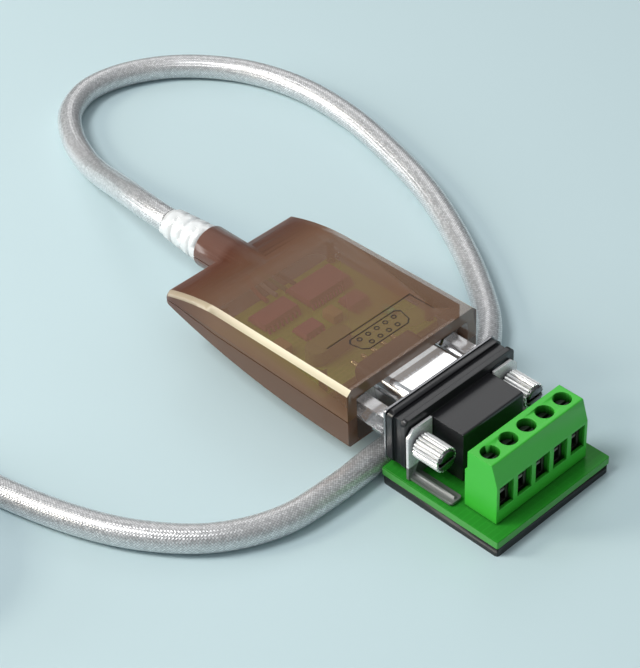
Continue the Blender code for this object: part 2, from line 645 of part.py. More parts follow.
def shell_piece(frame, name, width, height, wall, plate_low, plate_high, rim, flange_height):
    """A pressed connector shell: its flat plate with two holes, and the slanted shell drawn out of it."""
    radius = 2.4 * MM
    bm = bmesh.new()
    add_prism(bm, "Y", rounded(rectangle(FLANGE_WIDTH, flange_height), 0.8 * MM), plate_low, plate_high)
    obj = piece(frame, name, bm, steel("tinned_steel"))
    bm = bmesh.new()
    add_prism(bm, "Y", shell_outline(width, height, radius), *sorted((rim, (plate_low + plate_high) / 2)))
    shape(obj, "UNION", helper(frame, f"{name}_drawn", bm))
    bm = bmesh.new()
    hollow = shell_outline(width - 2 * wall, height - 2 * wall, radius - wall)
    add_prism(bm, "Y", hollow, min(rim, plate_low) - 1 * MM, max(rim, plate_high) + 1 * MM)
    for _, x in jack_places():
        add_rod(bm, "Y", (x, 0), JACK_BORE, plate_low - 1 * MM, plate_high + 1 * MM, sides=16)
    shape(obj, "DIFFERENCE", helper(frame, f"{name}_hollow", bm))


def converter_plug(frame):
    rim = SOCKET_PLATE_FRONT + GAP
    shell_piece(frame, "plug_shell", PLUG_SHELL_WIDTH, PLUG_SHELL_HEIGHT, PLUG_SHELL_WALL,
                PLUG_PLATE_FRONT, PLUG_PLATE_BACK, rim, PLUG_FLANGE_HEIGHT)
    front = SOCKET_RIM + GAP
    trim = 2 * (PLUG_SHELL_WALL + GAP)
    bm = bmesh.new()
    outline = shell_outline(PLUG_SHELL_WIDTH - trim, PLUG_SHELL_HEIGHT - trim, 1.6 * MM)
    add_prism(bm, "Y", outline, front, INSERT_BACK)
    insert = piece(frame, "plug_insert", bm, black_plastic("insert_plastic"))
    bm = bmesh.new()
    for place in pin_places():
        add_rod(bm, "Y", place, PIN_DIAMETER + 2 * GAP, front - 1 * MM, INSERT_BACK + 1 * MM, sides=10)
    shape(insert, "DIFFERENCE", helper(frame, "insert_ways", bm))
    for way, place in enumerate(pin_places(), start=1):
        bm = bmesh.new()
        add_turned(bm, "Y", place, [
            (front - PIN_REACH, PIN_DIAMETER / 4),
            (front - PIN_REACH + 0.5 * MM, PIN_DIAMETER / 2),
            (INSERT_BACK + PIN_TAIL, PIN_DIAMETER / 2),
        ], sides=10)
        piece(frame, f"plug_pin_{way}", bm, finish("gilt_pin", (0.83, 0.68, 0.35), 0.25, 1.0))


def jack_posts(frame):
    for side, x in jack_places():
        bm = bmesh.new()
        hexagon = ring_of(JACK_CORNERS / 2, (x, 0), sides=6)
        add_prism(bm, "Y", hexagon, SOCKET_PLATE_FRONT + GAP, PLUG_PLATE_FRONT - GAP)
        post = piece(frame, f"jack_post_{side}", bm, steel("plated_steel"))
        bm = bmesh.new()
        add_rod(bm, "Y", (x, 0), JACK_STUD, PLUG_PLATE_FRONT - 1 * MM, PLUG_PLATE_BACK, sides=14)
        shape(post, "UNION", helper(frame, f"jack_stud_{side}", bm))
        bm = bmesh.new()
        add_rod(bm, "Y", (x, 0), THUMB_SHANK + 2 * GAP, 0, THUMB_SHANK_REACH + 2 * GAP, sides=14)
        shape(post, "DIFFERENCE", helper(frame, f"jack_thread_{side}", bm))


def converter_board(frame):
    bm = bmesh.new()
    middle = (BOARD_FRONT + BOARD_BACK) / 2
    corners = rectangle(BOARD_WIDTH, BOARD_BACK - BOARD_FRONT, (0, middle))
    add_prism(bm, "Z", rounded(corners, 0.8 * MM), -BOARD_TOP, BOARD_TOP)
    piece(frame, "converter_board", bm, finish("board_green", (0.20, 0.30, 0.07), 0.5))


def gull_lead(bm, x, y, away, seat, body_middle):
    """One bent lead: out of the package's side, down, and flat on the board."""
    foot = seat + LEAD_THICKNESS
    edge = [
        (-0.5 * MM, body_middle), (LEAD_REACH * 0.35, body_middle), (LEAD_REACH * 0.6, seat),
        (LEAD_REACH, seat), (LEAD_REACH, foot), (LEAD_REACH * 0.8, foot),
        (LEAD_REACH * 0.55, body_middle + LEAD_THICKNESS), (-0.5 * MM, body_middle + LEAD_THICKNESS),
    ]
    outline = [(y + away * out, up) for out, up in edge]
    add_prism(bm, "X", outline, x - LEAD_WIDTH / 2, x + LEAD_WIDTH / 2)


def chip(frame, name, centre, size, leads_a_side):
    """A small-outline package: chamfered body with a row of gull leads along each long side."""
    x, y = centre
    width, depth = size
    seat = BOARD_TOP + GAP
    low, high = seat + 0.15 * MM, seat + CHIP_HEIGHT
    chamfer = 0.25 * MM
    bm = bmesh.new()
    small = rectangle(width - 2 * chamfer, depth - 2 * chamfer, centre)
    full = rectangle(width, depth, centre)
    middle = (low + high) / 2
    add_loft(bm, "Z", [(low, small), (middle, full), (high, small)])
    body = piece(frame, name, bm, finish("chip_epoxy", (0.05, 0.05, 0.055), 0.6), smooth=False)
    bm = bmesh.new()
    pitch = width / leads_a_side
    for side in (-1, 1):
        for lead in range(leads_a_side):
            across = x + (lead - (leads_a_side - 1) / 2) * pitch
            gull_lead(bm, across, y + side * depth / 2, side, seat, middle - LEAD_THICKNESS / 2)
    shape(body, "UNION", helper(frame, f"{name}_leads", bm))


def block_part(frame, name, centre, size, height, radius, material):
    """A plain moulded or pressed part that stands on the board."""
    seat = BOARD_TOP + GAP
    bm = bmesh.new()
    add_prism(bm, "Z", rounded(rectangle(*size, centre), radius), seat, seat + height)
    piece(frame, name, bm, material)


def board_parts(frame):
    """The crystal's row at the front, the small parts' row, and the two wide chips at the back."""
    bridge_x = CHIP_SPLIT + CHIP_CLEARANCE + BRIDGE[0] / 2
    driver_x = CHIP_SPLIT - CHIP_CLEARANCE - LINE_DRIVER[0] / 2
    chip(frame, "bridge_chip", (bridge_x, CHIP_ROW), BRIDGE, 14)
    chip(frame, "line_driver_chip", (driver_x, CHIP_ROW), LINE_DRIVER, 8)
    chip(frame, "regulator_chip", (REGULATOR_X, SMALL_ROW), REGULATOR, 3)
    chip(frame, "memory_chip", (MEMORY_X, SMALL_ROW), MEMORY, 4)
    block_part(frame, "crystal", (driver_x, CRYSTAL_ROW), CRYSTAL, CRYSTAL_HEIGHT,
               0.48 * CRYSTAL[1], steel("crystal_can"))
    ochre = finish("tantalum", (0.62, 0.42, 0.12), 0.5)
    for number, x in enumerate(CAPACITOR_X, start=1):
        block_part(frame, f"capacitor_{number}", (x, SMALL_ROW), CAPACITOR, CHIP_HEIGHT, 0.3 * MM, ochre)
    lens = finish("lamp_lens", (0.1, 0.7, 0.15), 0.3, alpha=0.8)
    block_part(frame, "lamp", (BOARD_WIDTH / 3, CRYSTAL_ROW), LAMP, LAMP_HEIGHT, 0.3 * MM, lens)


def smooth_points(route, step):
    """Points a step apart along the smooth curve through the route's points, ends kept."""
    ends = [route[0] * 2 - route[1], *route, route[-1] * 2 - route[-2]]
    fine = [route[0]]
    for before, start, end, after in zip(ends, ends[1:], ends[2:], ends[3:]):
        for part in range(1, 21):
            t = part / 20
            pull = (2 * before - 5 * start + 4 * end - after) * t * t
            turn = (3 * start - before - 3 * end + after) * t**3
            fine.append((2 * start + (end - before) * t + pull + turn) / 2)
    length = sum((b - a).length for a, b in zip(fine, fine[1:]))
    spacing = length / max(2, round(length / step))
    points, walked, due = [fine[0]], 0.0, spacing
    for a, b in zip(fine, fine[1:]):
        run = (b - a).length
        while run and walked + run >= due - 1e-9 and due < length - spacing / 2:
            points.append(a.lerp(b, (due - walked) / run))
            due += spacing
        walked += run
    return [*points, fine[-1]]


def tube(frame, name, points, diameter, material, resolution):
    """A plain round tube with filled ends along a line of points."""
    curve = bpy.data.curves.new(name, "CURVE")
    curve.dimensions = "3D"
    curve.bevel_depth = diameter / 2
    curve.bevel_resolution = resolution
    curve.use_fill_caps = True
    spline = curve.splines.new("POLY")
    spline.points.add(len(points) - 1)
    for target, point in zip(spline.points, points):
        target.co = (*point, 1.0)
    curve.materials.append(material)
    return frame.place(bpy.data.objects.new(name, curve))


def inner_wires(frame):
    """The four cores that run from the relief's inner end to the back of the board."""
    colours = {
        "red": (0.7, 0.05, 0.04),
        "white": (0.85, 0.85, 0.83),
        "green": (0.05, 0.45, 0.12),
        "black": (0.03, 0.03, 0.03),
    }
    start_y = RELIEF_START - RELIEF_INNER_LENGTH - GAP
    end_z = BOARD_TOP + GAP + WIRE_DIAMETER / 2
    for number, (core, colour) in enumerate(colours.items()):
        side = number - 1.5
        route = [
            Vector((side * 1.3 * MM, start_y, BOSS_AXIS)),
            Vector((side * 1.4 * MM, start_y - 1.5 * MM, BOSS_AXIS)),
            Vector((side * 2.2 * MM, (start_y + BOARD_BACK) / 2 - 0.8 * MM, (BOSS_AXIS + end_z) / 2)),
            Vector((side * 2.6 * MM, BOARD_BACK - 0.2 * MM, end_z)),
            Vector((side * 2.6 * MM, BOARD_BACK - 2.0 * MM, end_z)),
        ]
        material = finish(f"core_{core}", colour, 0.4)
        tube(frame, f"wire_{core}", smooth_points(route, 1.6 * MM), WIRE_DIAMETER, material, 1)


def adapter_socket(frame):
    shell_piece(frame, "socket_shell", SOCKET_SHELL_WIDTH, SOCKET_SHELL_HEIGHT, SOCKET_SHELL_WALL,
                SOCKET_PLATE_BACK, SOCKET_PLATE_FRONT, SOCKET_RIM, SOCKET_FLANGE_HEIGHT)
    bm = bmesh.new()
    flange = rounded(rectangle(FLANGE_WIDTH, SOCKET_FLANGE_HEIGHT), 1.2 * MM)
    add_prism(bm, "Y", flange, -SOCKET_BODY_DEPTH, 0)
    body = piece(frame, "socket_body", bm, black_plastic("socket_plastic"))

    bm = bmesh.new()
    channel = (-CHANNEL_FROM_FACE - CHANNEL_WIDTH, -CHANNEL_FROM_FACE)
    half = FLANGE_WIDTH / 2
    top = SOCKET_FLANGE_HEIGHT / 2
    add_box(bm, (-2 * half, channel[0], top - CHANNEL_DEPTH), (2 * half, channel[1], 2 * top))
    shape(body, "DIFFERENCE", helper(frame, "channel_top", bm))
    bm = bmesh.new()
    for side in (-1, 1):
        low, high = sorted((side * (half - CHANNEL_DEPTH), side * 2 * half))
        add_box(bm, (low, channel[0], -2 * top), (high, channel[1], 2 * top))
    shape(body, "DIFFERENCE", helper(frame, "channel_sides", bm))

    bm = bmesh.new()
    cover = rounded([
        (-SOCKET_BODY_DEPTH + 1 * MM, ADAPTER_BOARD_TOP + GAP),
        (-SOCKET_BODY_DEPTH + 1 * MM, COVER_TOP),
        (COVER_FRONT, COVER_TOP),
        (COVER_FRONT, ADAPTER_BOARD_TOP + GAP),
    ], [0, 0, 0.5 * MM, 0], 2)
    add_prism(bm, "X", cover, -COVER_WIDTH / 2, COVER_WIDTH / 2)
    shape(body, "UNION", helper(frame, "right_angle_cover", bm))

    trim = 2 * (SOCKET_SHELL_WALL + GAP)
    bm = bmesh.new()
    nose = shell_outline(SOCKET_SHELL_WIDTH - trim, SOCKET_SHELL_HEIGHT - trim, 1.4 * MM)
    add_prism(bm, "Y", nose, -1 * MM, SOCKET_RIM - GAP)
    shape(body, "UNION", helper(frame, "socket_nose", bm))

    bm = bmesh.new()
    for x, y in tail_places():
        add_rod(bm, "Z", (x, y), SOLDER_PIN, ADAPTER_BOARD_BOTTOM, ADAPTER_BOARD_TOP + 1 * MM, sides=8)
    shape(body, "UNION", helper(frame, "socket_tails", bm))

    bm = bmesh.new()
    for place in pin_places():
        add_rod(bm, "Y", place, PIN_DIAMETER + 2 * GAP, SOCKET_PLATE_FRONT, SOCKET_RIM + 1 * MM, sides=10)
    for _, x in jack_places():
        add_rod(bm, "Y", (x, 0), JACK_BORE, -SOCKET_BODY_DEPTH - 1 * MM, 1 * MM, sides=16)
    shape(body, "DIFFERENCE", helper(frame, "socket_ways", bm))


def tail_places():
    """Where the socket's nine tails pass through the adapter's board, in two staggered rows."""
    back = (COVER_FRONT - SOCKET_BODY_DEPTH) / 2
    near = [((way - 2) * PIN_PITCH, back - ROW_PITCH / 2) for way in range(5)]
    return near + [((way - 1.5) * PIN_PITCH, back + ROW_PITCH / 2) for way in range(4)]


def brackets(frame):
    """Two bent plates: each stands against the socket's flange and has a foot flat on the board."""
    seat = ADAPTER_BOARD_TOP + GAP
    for side, x in jack_places():
        sign = 1 if x > 0 else -1
        inner, outer = COVER_WIDTH / 2 + GAP, FLANGE_WIDTH / 2
        corners = [(inner, seat), (outer, seat), (outer, BRACKET_TOP - BRACKET_CORNER),
                   (outer - BRACKET_CORNER, BRACKET_TOP), (inner, BRACKET_TOP)]
        bm = bmesh.new()
        add_prism(bm, "Y", [(sign * across, up) for across, up in corners], BRACKET_FRONT, BRACKET_BACK)
        bracket = piece(frame, f"bracket_{side}", bm, steel("plated_sheet"))
        bm = bmesh.new()
        low, high = sorted((sign * (outer - FOOT_INSET - FOOT_WIDTH), sign * (outer - FOOT_INSET)))
        middle = (low + high) / 2
        tip = TERMINAL_BACK + TERMINAL_RIB + FOOT_TO_TERMINAL
        foot = [(low, BRACKET_BACK), (high, BRACKET_BACK), (high, tip), (low, tip)]
        add_prism(bm, "Z", rounded(foot, [0, 0, 0.6 * MM, 0.6 * MM], 2), seat, seat + BRACKET_SHEET)
        shape(bracket, "UNION", helper(frame, f"foot_{side}", bm))
        bm = bmesh.new()
        add_box(bm, (middle - FOOT_RIB / 2, tip + FOOT_RIB, seat + BRACKET_SHEET / 2),
                (middle + FOOT_RIB / 2, BRACKET_BACK - BRACKET_SHEET / 2, seat + BRACKET_SHEET + FOOT_RIB))
        shape(bracket, "UNION", helper(frame, f"foot_rib_{side}", bm))
        bm = bmesh.new()
        add_rod(bm, "Y", (x, 0), THUMB_SHANK + 2 * GAP,
                BRACKET_FRONT - 1 * MM, BRACKET_BACK + 1 * MM, sides=16)
        shape(bracket, "DIFFERENCE", helper(frame, f"bracket_hole_{side}", bm))


def knurl(centre, diameter):
    """A ring with straight ridges: the radius steps in and out all the way round."""
    points = []
    for index in range(2 * THUMB_RIDGES):
        radius = diameter / 2 - (index % 2) * THUMB_RIDGE_HEIGHT
        angle = math.pi * index / THUMB_RIDGES
        points.append((centre[0] + radius * math.cos(angle), centre[1] + radius * math.sin(angle)))
    return points


def thumb_screws(frame):
    for side, x in jack_places():
        centre = (x, 0)
        front = THUMB_BACK - THUMB_LENGTH
        chamfer = 0.4 * MM
        slim = THUMB_DIAMETER - 2 * chamfer
        bm = bmesh.new()
        add_loft(bm, "Y", [
            (front, knurl(centre, slim)),
            (front + chamfer, knurl(centre, THUMB_DIAMETER)),
            (THUMB_BACK - chamfer, knurl(centre, THUMB_DIAMETER)),
            (THUMB_BACK, knurl(centre, slim)),
        ])
        screw = piece(frame, f"thumb_screw_{side}", bm, steel("bright_nickel"))
        turn_about(screw, x, THUMB_BACK, 0)
        bm = bmesh.new()
        add_turned(bm, "Y", centre, [
            (THUMB_BACK - 1 * MM, THUMB_SHANK / 2),
            (THUMB_SHANK_REACH - chamfer, THUMB_SHANK / 2),
            (THUMB_SHANK_REACH, THUMB_SHANK / 2 - chamfer),
        ], sides=16)
        shape(screw, "UNION", helper(frame, f"thumb_shank_{side}", bm))
        bm = bmesh.new()
        slot_width, slot_depth = THUMB_SLOT
        add_box(bm, (x - THUMB_DIAMETER, front - 1 * MM, -slot_width / 2),
                (x + THUMB_DIAMETER, front + slot_depth, slot_width / 2))
        shape(screw, "DIFFERENCE", helper(frame, f"thumb_slot_{side}", bm))


def solder_pin_y():
    """The terminal pins drop just inside the chambers' back wall."""
    return TERMINAL_BACK - CHAMBER_FROM_BACK - GAP - SOLDER_PIN / 2


def adapter_board(frame):
    middle = (ADAPTER_BOARD_FRONT + ADAPTER_BOARD_BACK) / 2
    bm = bmesh.new()
    length = ADAPTER_BOARD_BACK - ADAPTER_BOARD_FRONT
    corners = rectangle(ADAPTER_BOARD_WIDTH, length, (0, middle))
    add_prism(bm, "Z", rounded(corners, 0.4 * MM, 2), ADAPTER_BOARD_BOTTOM, ADAPTER_BOARD_TOP)
    board = piece(frame, "adapter_board", bm, finish("adapter_green", (0.05, 0.33, 0.06), 0.35))
    bm = bmesh.new()
    for place in [*tail_places(), *[(x, solder_pin_y()) for x in POLE_X]]:
        add_rod(bm, "Z", place, SOLDER_PIN + 2 * GAP,
                ADAPTER_BOARD_BOTTOM - 1 * MM, ADAPTER_BOARD_TOP + 1 * MM, sides=10)
    shape(board, "DIFFERENCE", helper(frame, "board_holes", bm))
    bm = bmesh.new()
    trim = 2 * BASE_PAD_INSET
    pad = rectangle(ADAPTER_BOARD_WIDTH - trim, length - trim, (0, middle))
    add_prism(bm, "Z", rounded(pad, 0.6 * MM, 2), FLOOR, FLOOR + BASE_PAD_THICKNESS)
    piece(frame, "base_pad", bm, black_plastic("pad_rubber"))


def terminal_housing(frame):
    """The green block: sloping brow, a screw well over each pole and a square wire entry below it."""
    profile = [
        (TERMINAL_BACK, TERMINAL_BASE + TERMINAL_RIB_HEIGHT),
        (TERMINAL_BACK, TERMINAL_TOP),
        (TERMINAL_BACK - TERMINAL_TOP_DEPTH, TERMINAL_TOP),
        (TERMINAL_FRONT, TERMINAL_TOP - TERMINAL_BROW_DROP),
        (TERMINAL_FRONT, TERMINAL_BASE),
        (TERMINAL_BACK + TERMINAL_RIB, TERMINAL_BASE),
        (TERMINAL_BACK + TERMINAL_RIB, TERMINAL_BASE + TERMINAL_RIB_HEIGHT),
    ]
    half = TERMINAL_WIDTH / 2
    bm = bmesh.new()
    add_prism(bm, "X", rounded(profile, [0, 0.2 * MM, 0.3 * MM, 0.3 * MM, 0, 0, 0], 2), -half, half)
    housing = piece(frame, "terminal_housing", bm, finish("terminal_green", (0.07, 0.52, 0.08), 0.35))
    back = TERMINAL_BACK - CHAMBER_FROM_BACK
    wells, chambers, entries, pin_ways = (bmesh.new() for _ in range(4))
    for x in POLE_X:
        add_rod(wells, "Z", (x, SCREW_Y), SCREW_HOLE, CHAMBER_ROOF - 1 * MM, TERMINAL_TOP + 1 * MM)
        inner_front = TERMINAL_FRONT + CAGE_WALL
        add_box(chambers, (x - CHAMBER_WIDTH / 2, inner_front, CHAMBER_FLOOR),
                (x + CHAMBER_WIDTH / 2, back, CHAMBER_ROOF))
        add_box(entries, (x - CHAMBER_WIDTH / 2 + 0.1 * MM, TERMINAL_FRONT - 1 * MM, ENTRY_BOTTOM),
                (x + CHAMBER_WIDTH / 2 - 0.1 * MM, inner_front + 1 * MM, ENTRY_TOP))
        add_rod(pin_ways, "Z", (x, solder_pin_y()), SOLDER_PIN + 2 * GAP,
                TERMINAL_BASE - 1 * MM, CHAMBER_FLOOR + 1 * MM, sides=10)
    cuts = {"screw_wells": wells, "chambers": chambers, "wire_entries": entries, "pin_ways": pin_ways}
    for name, bm in cuts.items():
        shape(housing, "DIFFERENCE", helper(frame, name, bm))


def clamps(frame):
    """For each pole: the screw, the rising cage that it lifts, and the blade that the wire is pressed to."""
    head_top = TERMINAL_TOP - SCREW_RECESS
    head_low = head_top - SCREW_HEAD_HEIGHT
    pin_y = solder_pin_y()
    cage_back = pin_y - SOLDER_PIN / 2 - GAP
    cage_front = cage_back - CAGE_DEPTH
    cage_base = CHAMBER_FLOOR + GAP
    cage_top = cage_base + CAGE_HEIGHT
    blade_top = cage_top - CAGE_ROOF - GAP
    shank_end = blade_top + GAP
    for number, x in enumerate(POLE_X, start=1):
        bm = bmesh.new()
        chamfer = 0.2 * MM
        add_turned(bm, "Z", (x, SCREW_Y), [
            (shank_end, SCREW_SHANK / 2 - chamfer),
            (shank_end + chamfer, SCREW_SHANK / 2),
            (head_low, SCREW_SHANK / 2),
            (head_low, SCREW_HEAD / 2),
            (head_top - chamfer, SCREW_HEAD / 2),
            (head_top, SCREW_HEAD / 2 - chamfer),
        ])
        screw = piece(frame, f"clamp_screw_{number}", bm, steel("clamp_steel"))
        turn_about(screw, x, SCREW_Y, head_top)
        bm = bmesh.new()
        slot_width, slot_depth = SCREW_SLOT
        add_box(bm, (x - SCREW_HEAD, SCREW_Y - slot_width / 2, head_top - slot_depth),
                (x + SCREW_HEAD, SCREW_Y + slot_width / 2, head_top + 1 * MM))
        shape(screw, "DIFFERENCE", helper(frame, f"screw_slot_{number}", bm))

        half = CAGE_WIDTH / 2
        bm = bmesh.new()
        add_box(bm, (x - half, cage_front, cage_base), (x + half, cage_back, cage_top))
        brass = finish("clamp_brass", (0.72, 0.60, 0.34), 0.35, 1.0)
        cage = piece(frame, f"clamp_cage_{number}", bm, brass, smooth=False)
        turn_about(cage, x, SCREW_Y, cage_base)
        bm = bmesh.new()
        add_box(bm, (x - CAGE_WINDOW / 2, cage_front - 1 * MM, cage_base + CAGE_WALL),
                (x + CAGE_WINDOW / 2, cage_back + 1 * MM, cage_top - CAGE_ROOF))
        shape(cage, "DIFFERENCE", helper(frame, f"cage_window_{number}", bm))
        bm = bmesh.new()
        add_rod(bm, "Z", (x, SCREW_Y), SCREW_SHANK + 2 * GAP,
                cage_top - CAGE_ROOF - GAP, cage_top + 1 * MM, sides=16)
        shape(cage, "DIFFERENCE", helper(frame, f"cage_thread_{number}", bm))

        bm = bmesh.new()
        add_box(bm, (x - BLADE_WIDTH / 2, cage_front, blade_top - BLADE_THICKNESS),
                (x + BLADE_WIDTH / 2, pin_y, blade_top))
        tinned = finish("tinned_brass", (0.75, 0.73, 0.66), 0.3, 1.0)
        blade = piece(frame, f"terminal_pin_{number}", bm, tinned)
        bm = bmesh.new()
        add_rod(bm, "Z", (x, pin_y), SOLDER_PIN,
                ADAPTER_BOARD_BOTTOM, blade_top - BLADE_THICKNESS / 2, sides=10)
        shape(blade, "UNION", helper(frame, f"pin_leg_{number}", bm))


def cord(frame):
    """The cord's plain solids: the tube that lies loose, the coil, and the tie that holds it."""
    jacket = finish("clear_braid", (0.72, 0.74, 0.76), 0.35)
    points = [CORD_START, *smooth_points(CORD_ROUTE, CORD_STEP)]
    tube(frame, "cord_tube", points, CORD_DIAMETER, jacket, CORD_SIDES)
    bm = bmesh.new()
    add_rod(bm, "Z", COIL_CENTRE, 2 * COIL_OUTER, COIL_BASE, COIL_BASE + COIL_HEIGHT, sides=40)
    coil = piece(frame, "cord_coil", bm, jacket)
    bm = bmesh.new()
    add_rod(bm, "Z", COIL_CENTRE, 2 * COIL_INNER,
            COIL_BASE - 1 * MM, COIL_BASE + COIL_HEIGHT + 1 * MM, sides=40)
    shape(coil, "DIFFERENCE", helper(frame, "coil_eye", bm))

    # The eye is round and the tie straight, so the tie clears the arc's sag across its own width
    sag = COIL_INNER - math.sqrt(COIL_INNER**2 - (TIE_WIDTH / 2) ** 2)
    near, far = COIL_INNER - sag - GAP, COIL_OUTER + GAP
    low, high = FLOOR + TIE_THICKNESS, COIL_BASE + COIL_HEIGHT + GAP
    band = tie_block(near - TIE_THICKNESS, far + TIE_THICKNESS, FLOOR, high + TIE_THICKNESS, TIE_WIDTH)
    tie = piece(frame, "coil_tie", band, finish("tie_strap", (0.05, 0.05, 0.05), 0.6), smooth=False)
    space = tie_block(near, far, low, high, 2 * TIE_WIDTH)
    shape(tie, "DIFFERENCE", helper(frame, "tie_space", space))


def tie_block(near, far, low, high, width):
    """A box across the coil at the tie's angle, between two distances from the coil's centre."""
    radial = Vector((math.cos(TIE_ANGLE), math.sin(TIE_ANGLE)))
    beside = Vector((-radial.y, radial.x)) * width / 2
    corners = [radial * near - beside, radial * far - beside, radial * far + beside, radial * near + beside]
    bm = bmesh.new()
    add_prism(bm, "Z", [COIL_CENTRE + corner for corner in corners], low, high)
    return bm


def usb_plug(frame):
    """The cable's far plug: moulded body, its metal shell and the tongue, flat on the floor by the coil."""
    width, length, height = PLUG_BODY
    outer_turn = COIL_OUTER - CORD_RADIUS
    x = COIL_CENTRE.x - outer_turn
    middle = FLOOR + height / 2
    neck_diameter, neck_length = PLUG_NECK
    neck_tip = CORD_RADIUS + 0.4 * MM
    neck_back = COIL_CENTRE.y - math.sqrt((COIL_OUTER + GAP) ** 2 - (outer_turn - neck_tip) ** 2)
    body_back = neck_back - neck_length
    body_front = body_back - length
    bm = bmesh.new()
    body = rounded(rectangle(width, height, (x, middle)), PLUG_BODY_RADIUS)
    throat = rounded(rectangle(width * 0.72, height * 0.86, (x, middle)), PLUG_BODY_RADIUS * 0.8)
    add_loft(bm, "Y", [(body_front, body), (body_back - 4 * MM, body), (body_back, throat)])
    grip = piece(frame, "usb_plug_body", bm, finish("plug_moulding", (0.80, 0.80, 0.79), 0.45))
    bm = bmesh.new()
    add_turned(bm, "Y", (x, middle), [(body_back - 1 * MM, neck_diameter / 2), (neck_back, neck_tip)])
    shape(grip, "UNION", helper(frame, "usb_plug_neck", bm))

    shell_width, shell_length, shell_height = USB_SHELL
    shell_back = body_front - GAP
    bm = bmesh.new()
    outside = rounded(rectangle(shell_width, shell_height, (x, middle)), 0.5 * MM, 2)
    add_prism(bm, "Y", outside, shell_back - shell_length, shell_back)
    shell = piece(frame, "usb_shell", bm, steel("usb_steel"))
    sheet = 2 * USB_SHELL_SHEET
    bm = bmesh.new()
    inside = rectangle(shell_width - sheet, shell_height - sheet, (x, middle))
    add_prism(bm, "Y", rounded(inside, 0.25 * MM, 2), shell_back - shell_length - 1 * MM, shell_back - 1 * MM)
    shape(shell, "DIFFERENCE", helper(frame, "usb_shell_inside", bm))
    for across in (-USB_WINDOW, USB_WINDOW):
        bm = bmesh.new()
        add_box(bm, (x + across - USB_WINDOW / 2, shell_back - 0.62 * shell_length, middle),
                (x + across + USB_WINDOW / 2, shell_back - 0.42 * shell_length, middle + shell_height))
        shape(shell, "DIFFERENCE", helper(frame, "usb_shell_window", bm))
    bm = bmesh.new()
    low = middle - shell_height / 2 + USB_SHELL_SHEET + GAP
    inner_half = shell_width / 2 - USB_SHELL_SHEET - GAP
    add_box(bm, (x - inner_half, shell_back - shell_length + 0.6 * MM, low),
            (x + inner_half, shell_back - 1 * MM - GAP, low + USB_TONGUE))
    piece(frame, "usb_tongue", bm, finish("tongue_white", (0.85, 0.85, 0.84), 0.5), smooth=False)


def main():
    clear_scene()
    frame = Frame()
    hood_shells(frame)
    strain_relief(frame)
    converter_plug(frame)
    jack_posts(frame)
    converter_board(frame)
    board_parts(frame)
    inner_wires(frame)
    adapter_socket(frame)
    brackets(frame)
    thumb_screws(frame)
    adapter_board(frame)
    terminal_housing(frame)
    clamps(frame)
    cord(frame)
    usb_plug(frame)


main()
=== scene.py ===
"""The looks of a USB to serial converter that is joined to its screw-terminal adapter.

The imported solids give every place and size. Each rigid piece is a copy of its solid with doubles merged
and clean shading. The lead, the ribs of its relief, the ridges of the thumb screws and the print on the
hood are made here. Lengths are metres, +Z is up and the floor is z = 0.
"""

from __future__ import annotations

import json
import logging
import math
from collections.abc import Callable, Sequence
from dataclasses import dataclass, field, replace
from enum import Enum
from functools import cache

import bmesh
import bpy
from mathutils import Euler, Matrix, Vector
from mathutils.bvhtree import BVHTree

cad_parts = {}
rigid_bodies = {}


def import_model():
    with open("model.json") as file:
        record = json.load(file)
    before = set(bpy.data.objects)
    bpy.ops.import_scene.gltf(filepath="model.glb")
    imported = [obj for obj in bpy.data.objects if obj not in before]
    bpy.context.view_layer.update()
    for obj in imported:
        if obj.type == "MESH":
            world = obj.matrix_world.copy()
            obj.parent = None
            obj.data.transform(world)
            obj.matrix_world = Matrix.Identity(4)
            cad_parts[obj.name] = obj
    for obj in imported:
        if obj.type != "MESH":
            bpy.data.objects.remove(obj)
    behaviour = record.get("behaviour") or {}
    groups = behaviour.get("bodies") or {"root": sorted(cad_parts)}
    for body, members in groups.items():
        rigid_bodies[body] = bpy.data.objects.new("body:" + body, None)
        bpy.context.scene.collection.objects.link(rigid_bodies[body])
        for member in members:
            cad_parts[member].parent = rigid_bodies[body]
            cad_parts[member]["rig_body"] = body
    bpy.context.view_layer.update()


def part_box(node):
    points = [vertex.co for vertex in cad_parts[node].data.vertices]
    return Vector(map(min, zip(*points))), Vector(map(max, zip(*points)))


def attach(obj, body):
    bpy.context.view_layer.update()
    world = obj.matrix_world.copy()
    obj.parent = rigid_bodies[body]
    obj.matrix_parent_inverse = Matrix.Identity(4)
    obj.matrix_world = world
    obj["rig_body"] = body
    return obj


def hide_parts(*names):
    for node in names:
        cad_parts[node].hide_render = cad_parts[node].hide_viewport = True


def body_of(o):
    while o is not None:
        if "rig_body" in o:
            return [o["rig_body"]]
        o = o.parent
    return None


LOG = logging.getLogger("converter")
MM = 0.001

# The mating face of the two connectors, from which the source places everything
MATING_FACE = Vector((0.0, -25.1, 12.0)) * MM
# Air between the coil and the lead that joins it, and between the lead and its plug
GAP = 0.3 * MM
# Points of a solid closer than this are one point, and faces that meet flatter than this many degrees are one
MERGE = 0.002 * MM
FLAT = 0.02
# The part of a face's normal along an axis, from where the face begins to look that way to where it does
LOOKS = (0.5, 0.6)

Colour = tuple[float, float, float]


def from_mate(x: float, y: float, z: float) -> Vector:
    """A point given in millimetres from the mating face, in the model's frame."""
    return Vector((x, y, z)) * MM + MATING_FACE


class Side(Enum):
    """The two ends of the connector, seen from the terminal."""

    LEFT = "left"
    RIGHT = "right"


class Tree(Enum):
    """The two kinds of node tree."""

    SHADER = "ShaderNodeTree"
    GEOMETRY = "GeometryNodeTree"


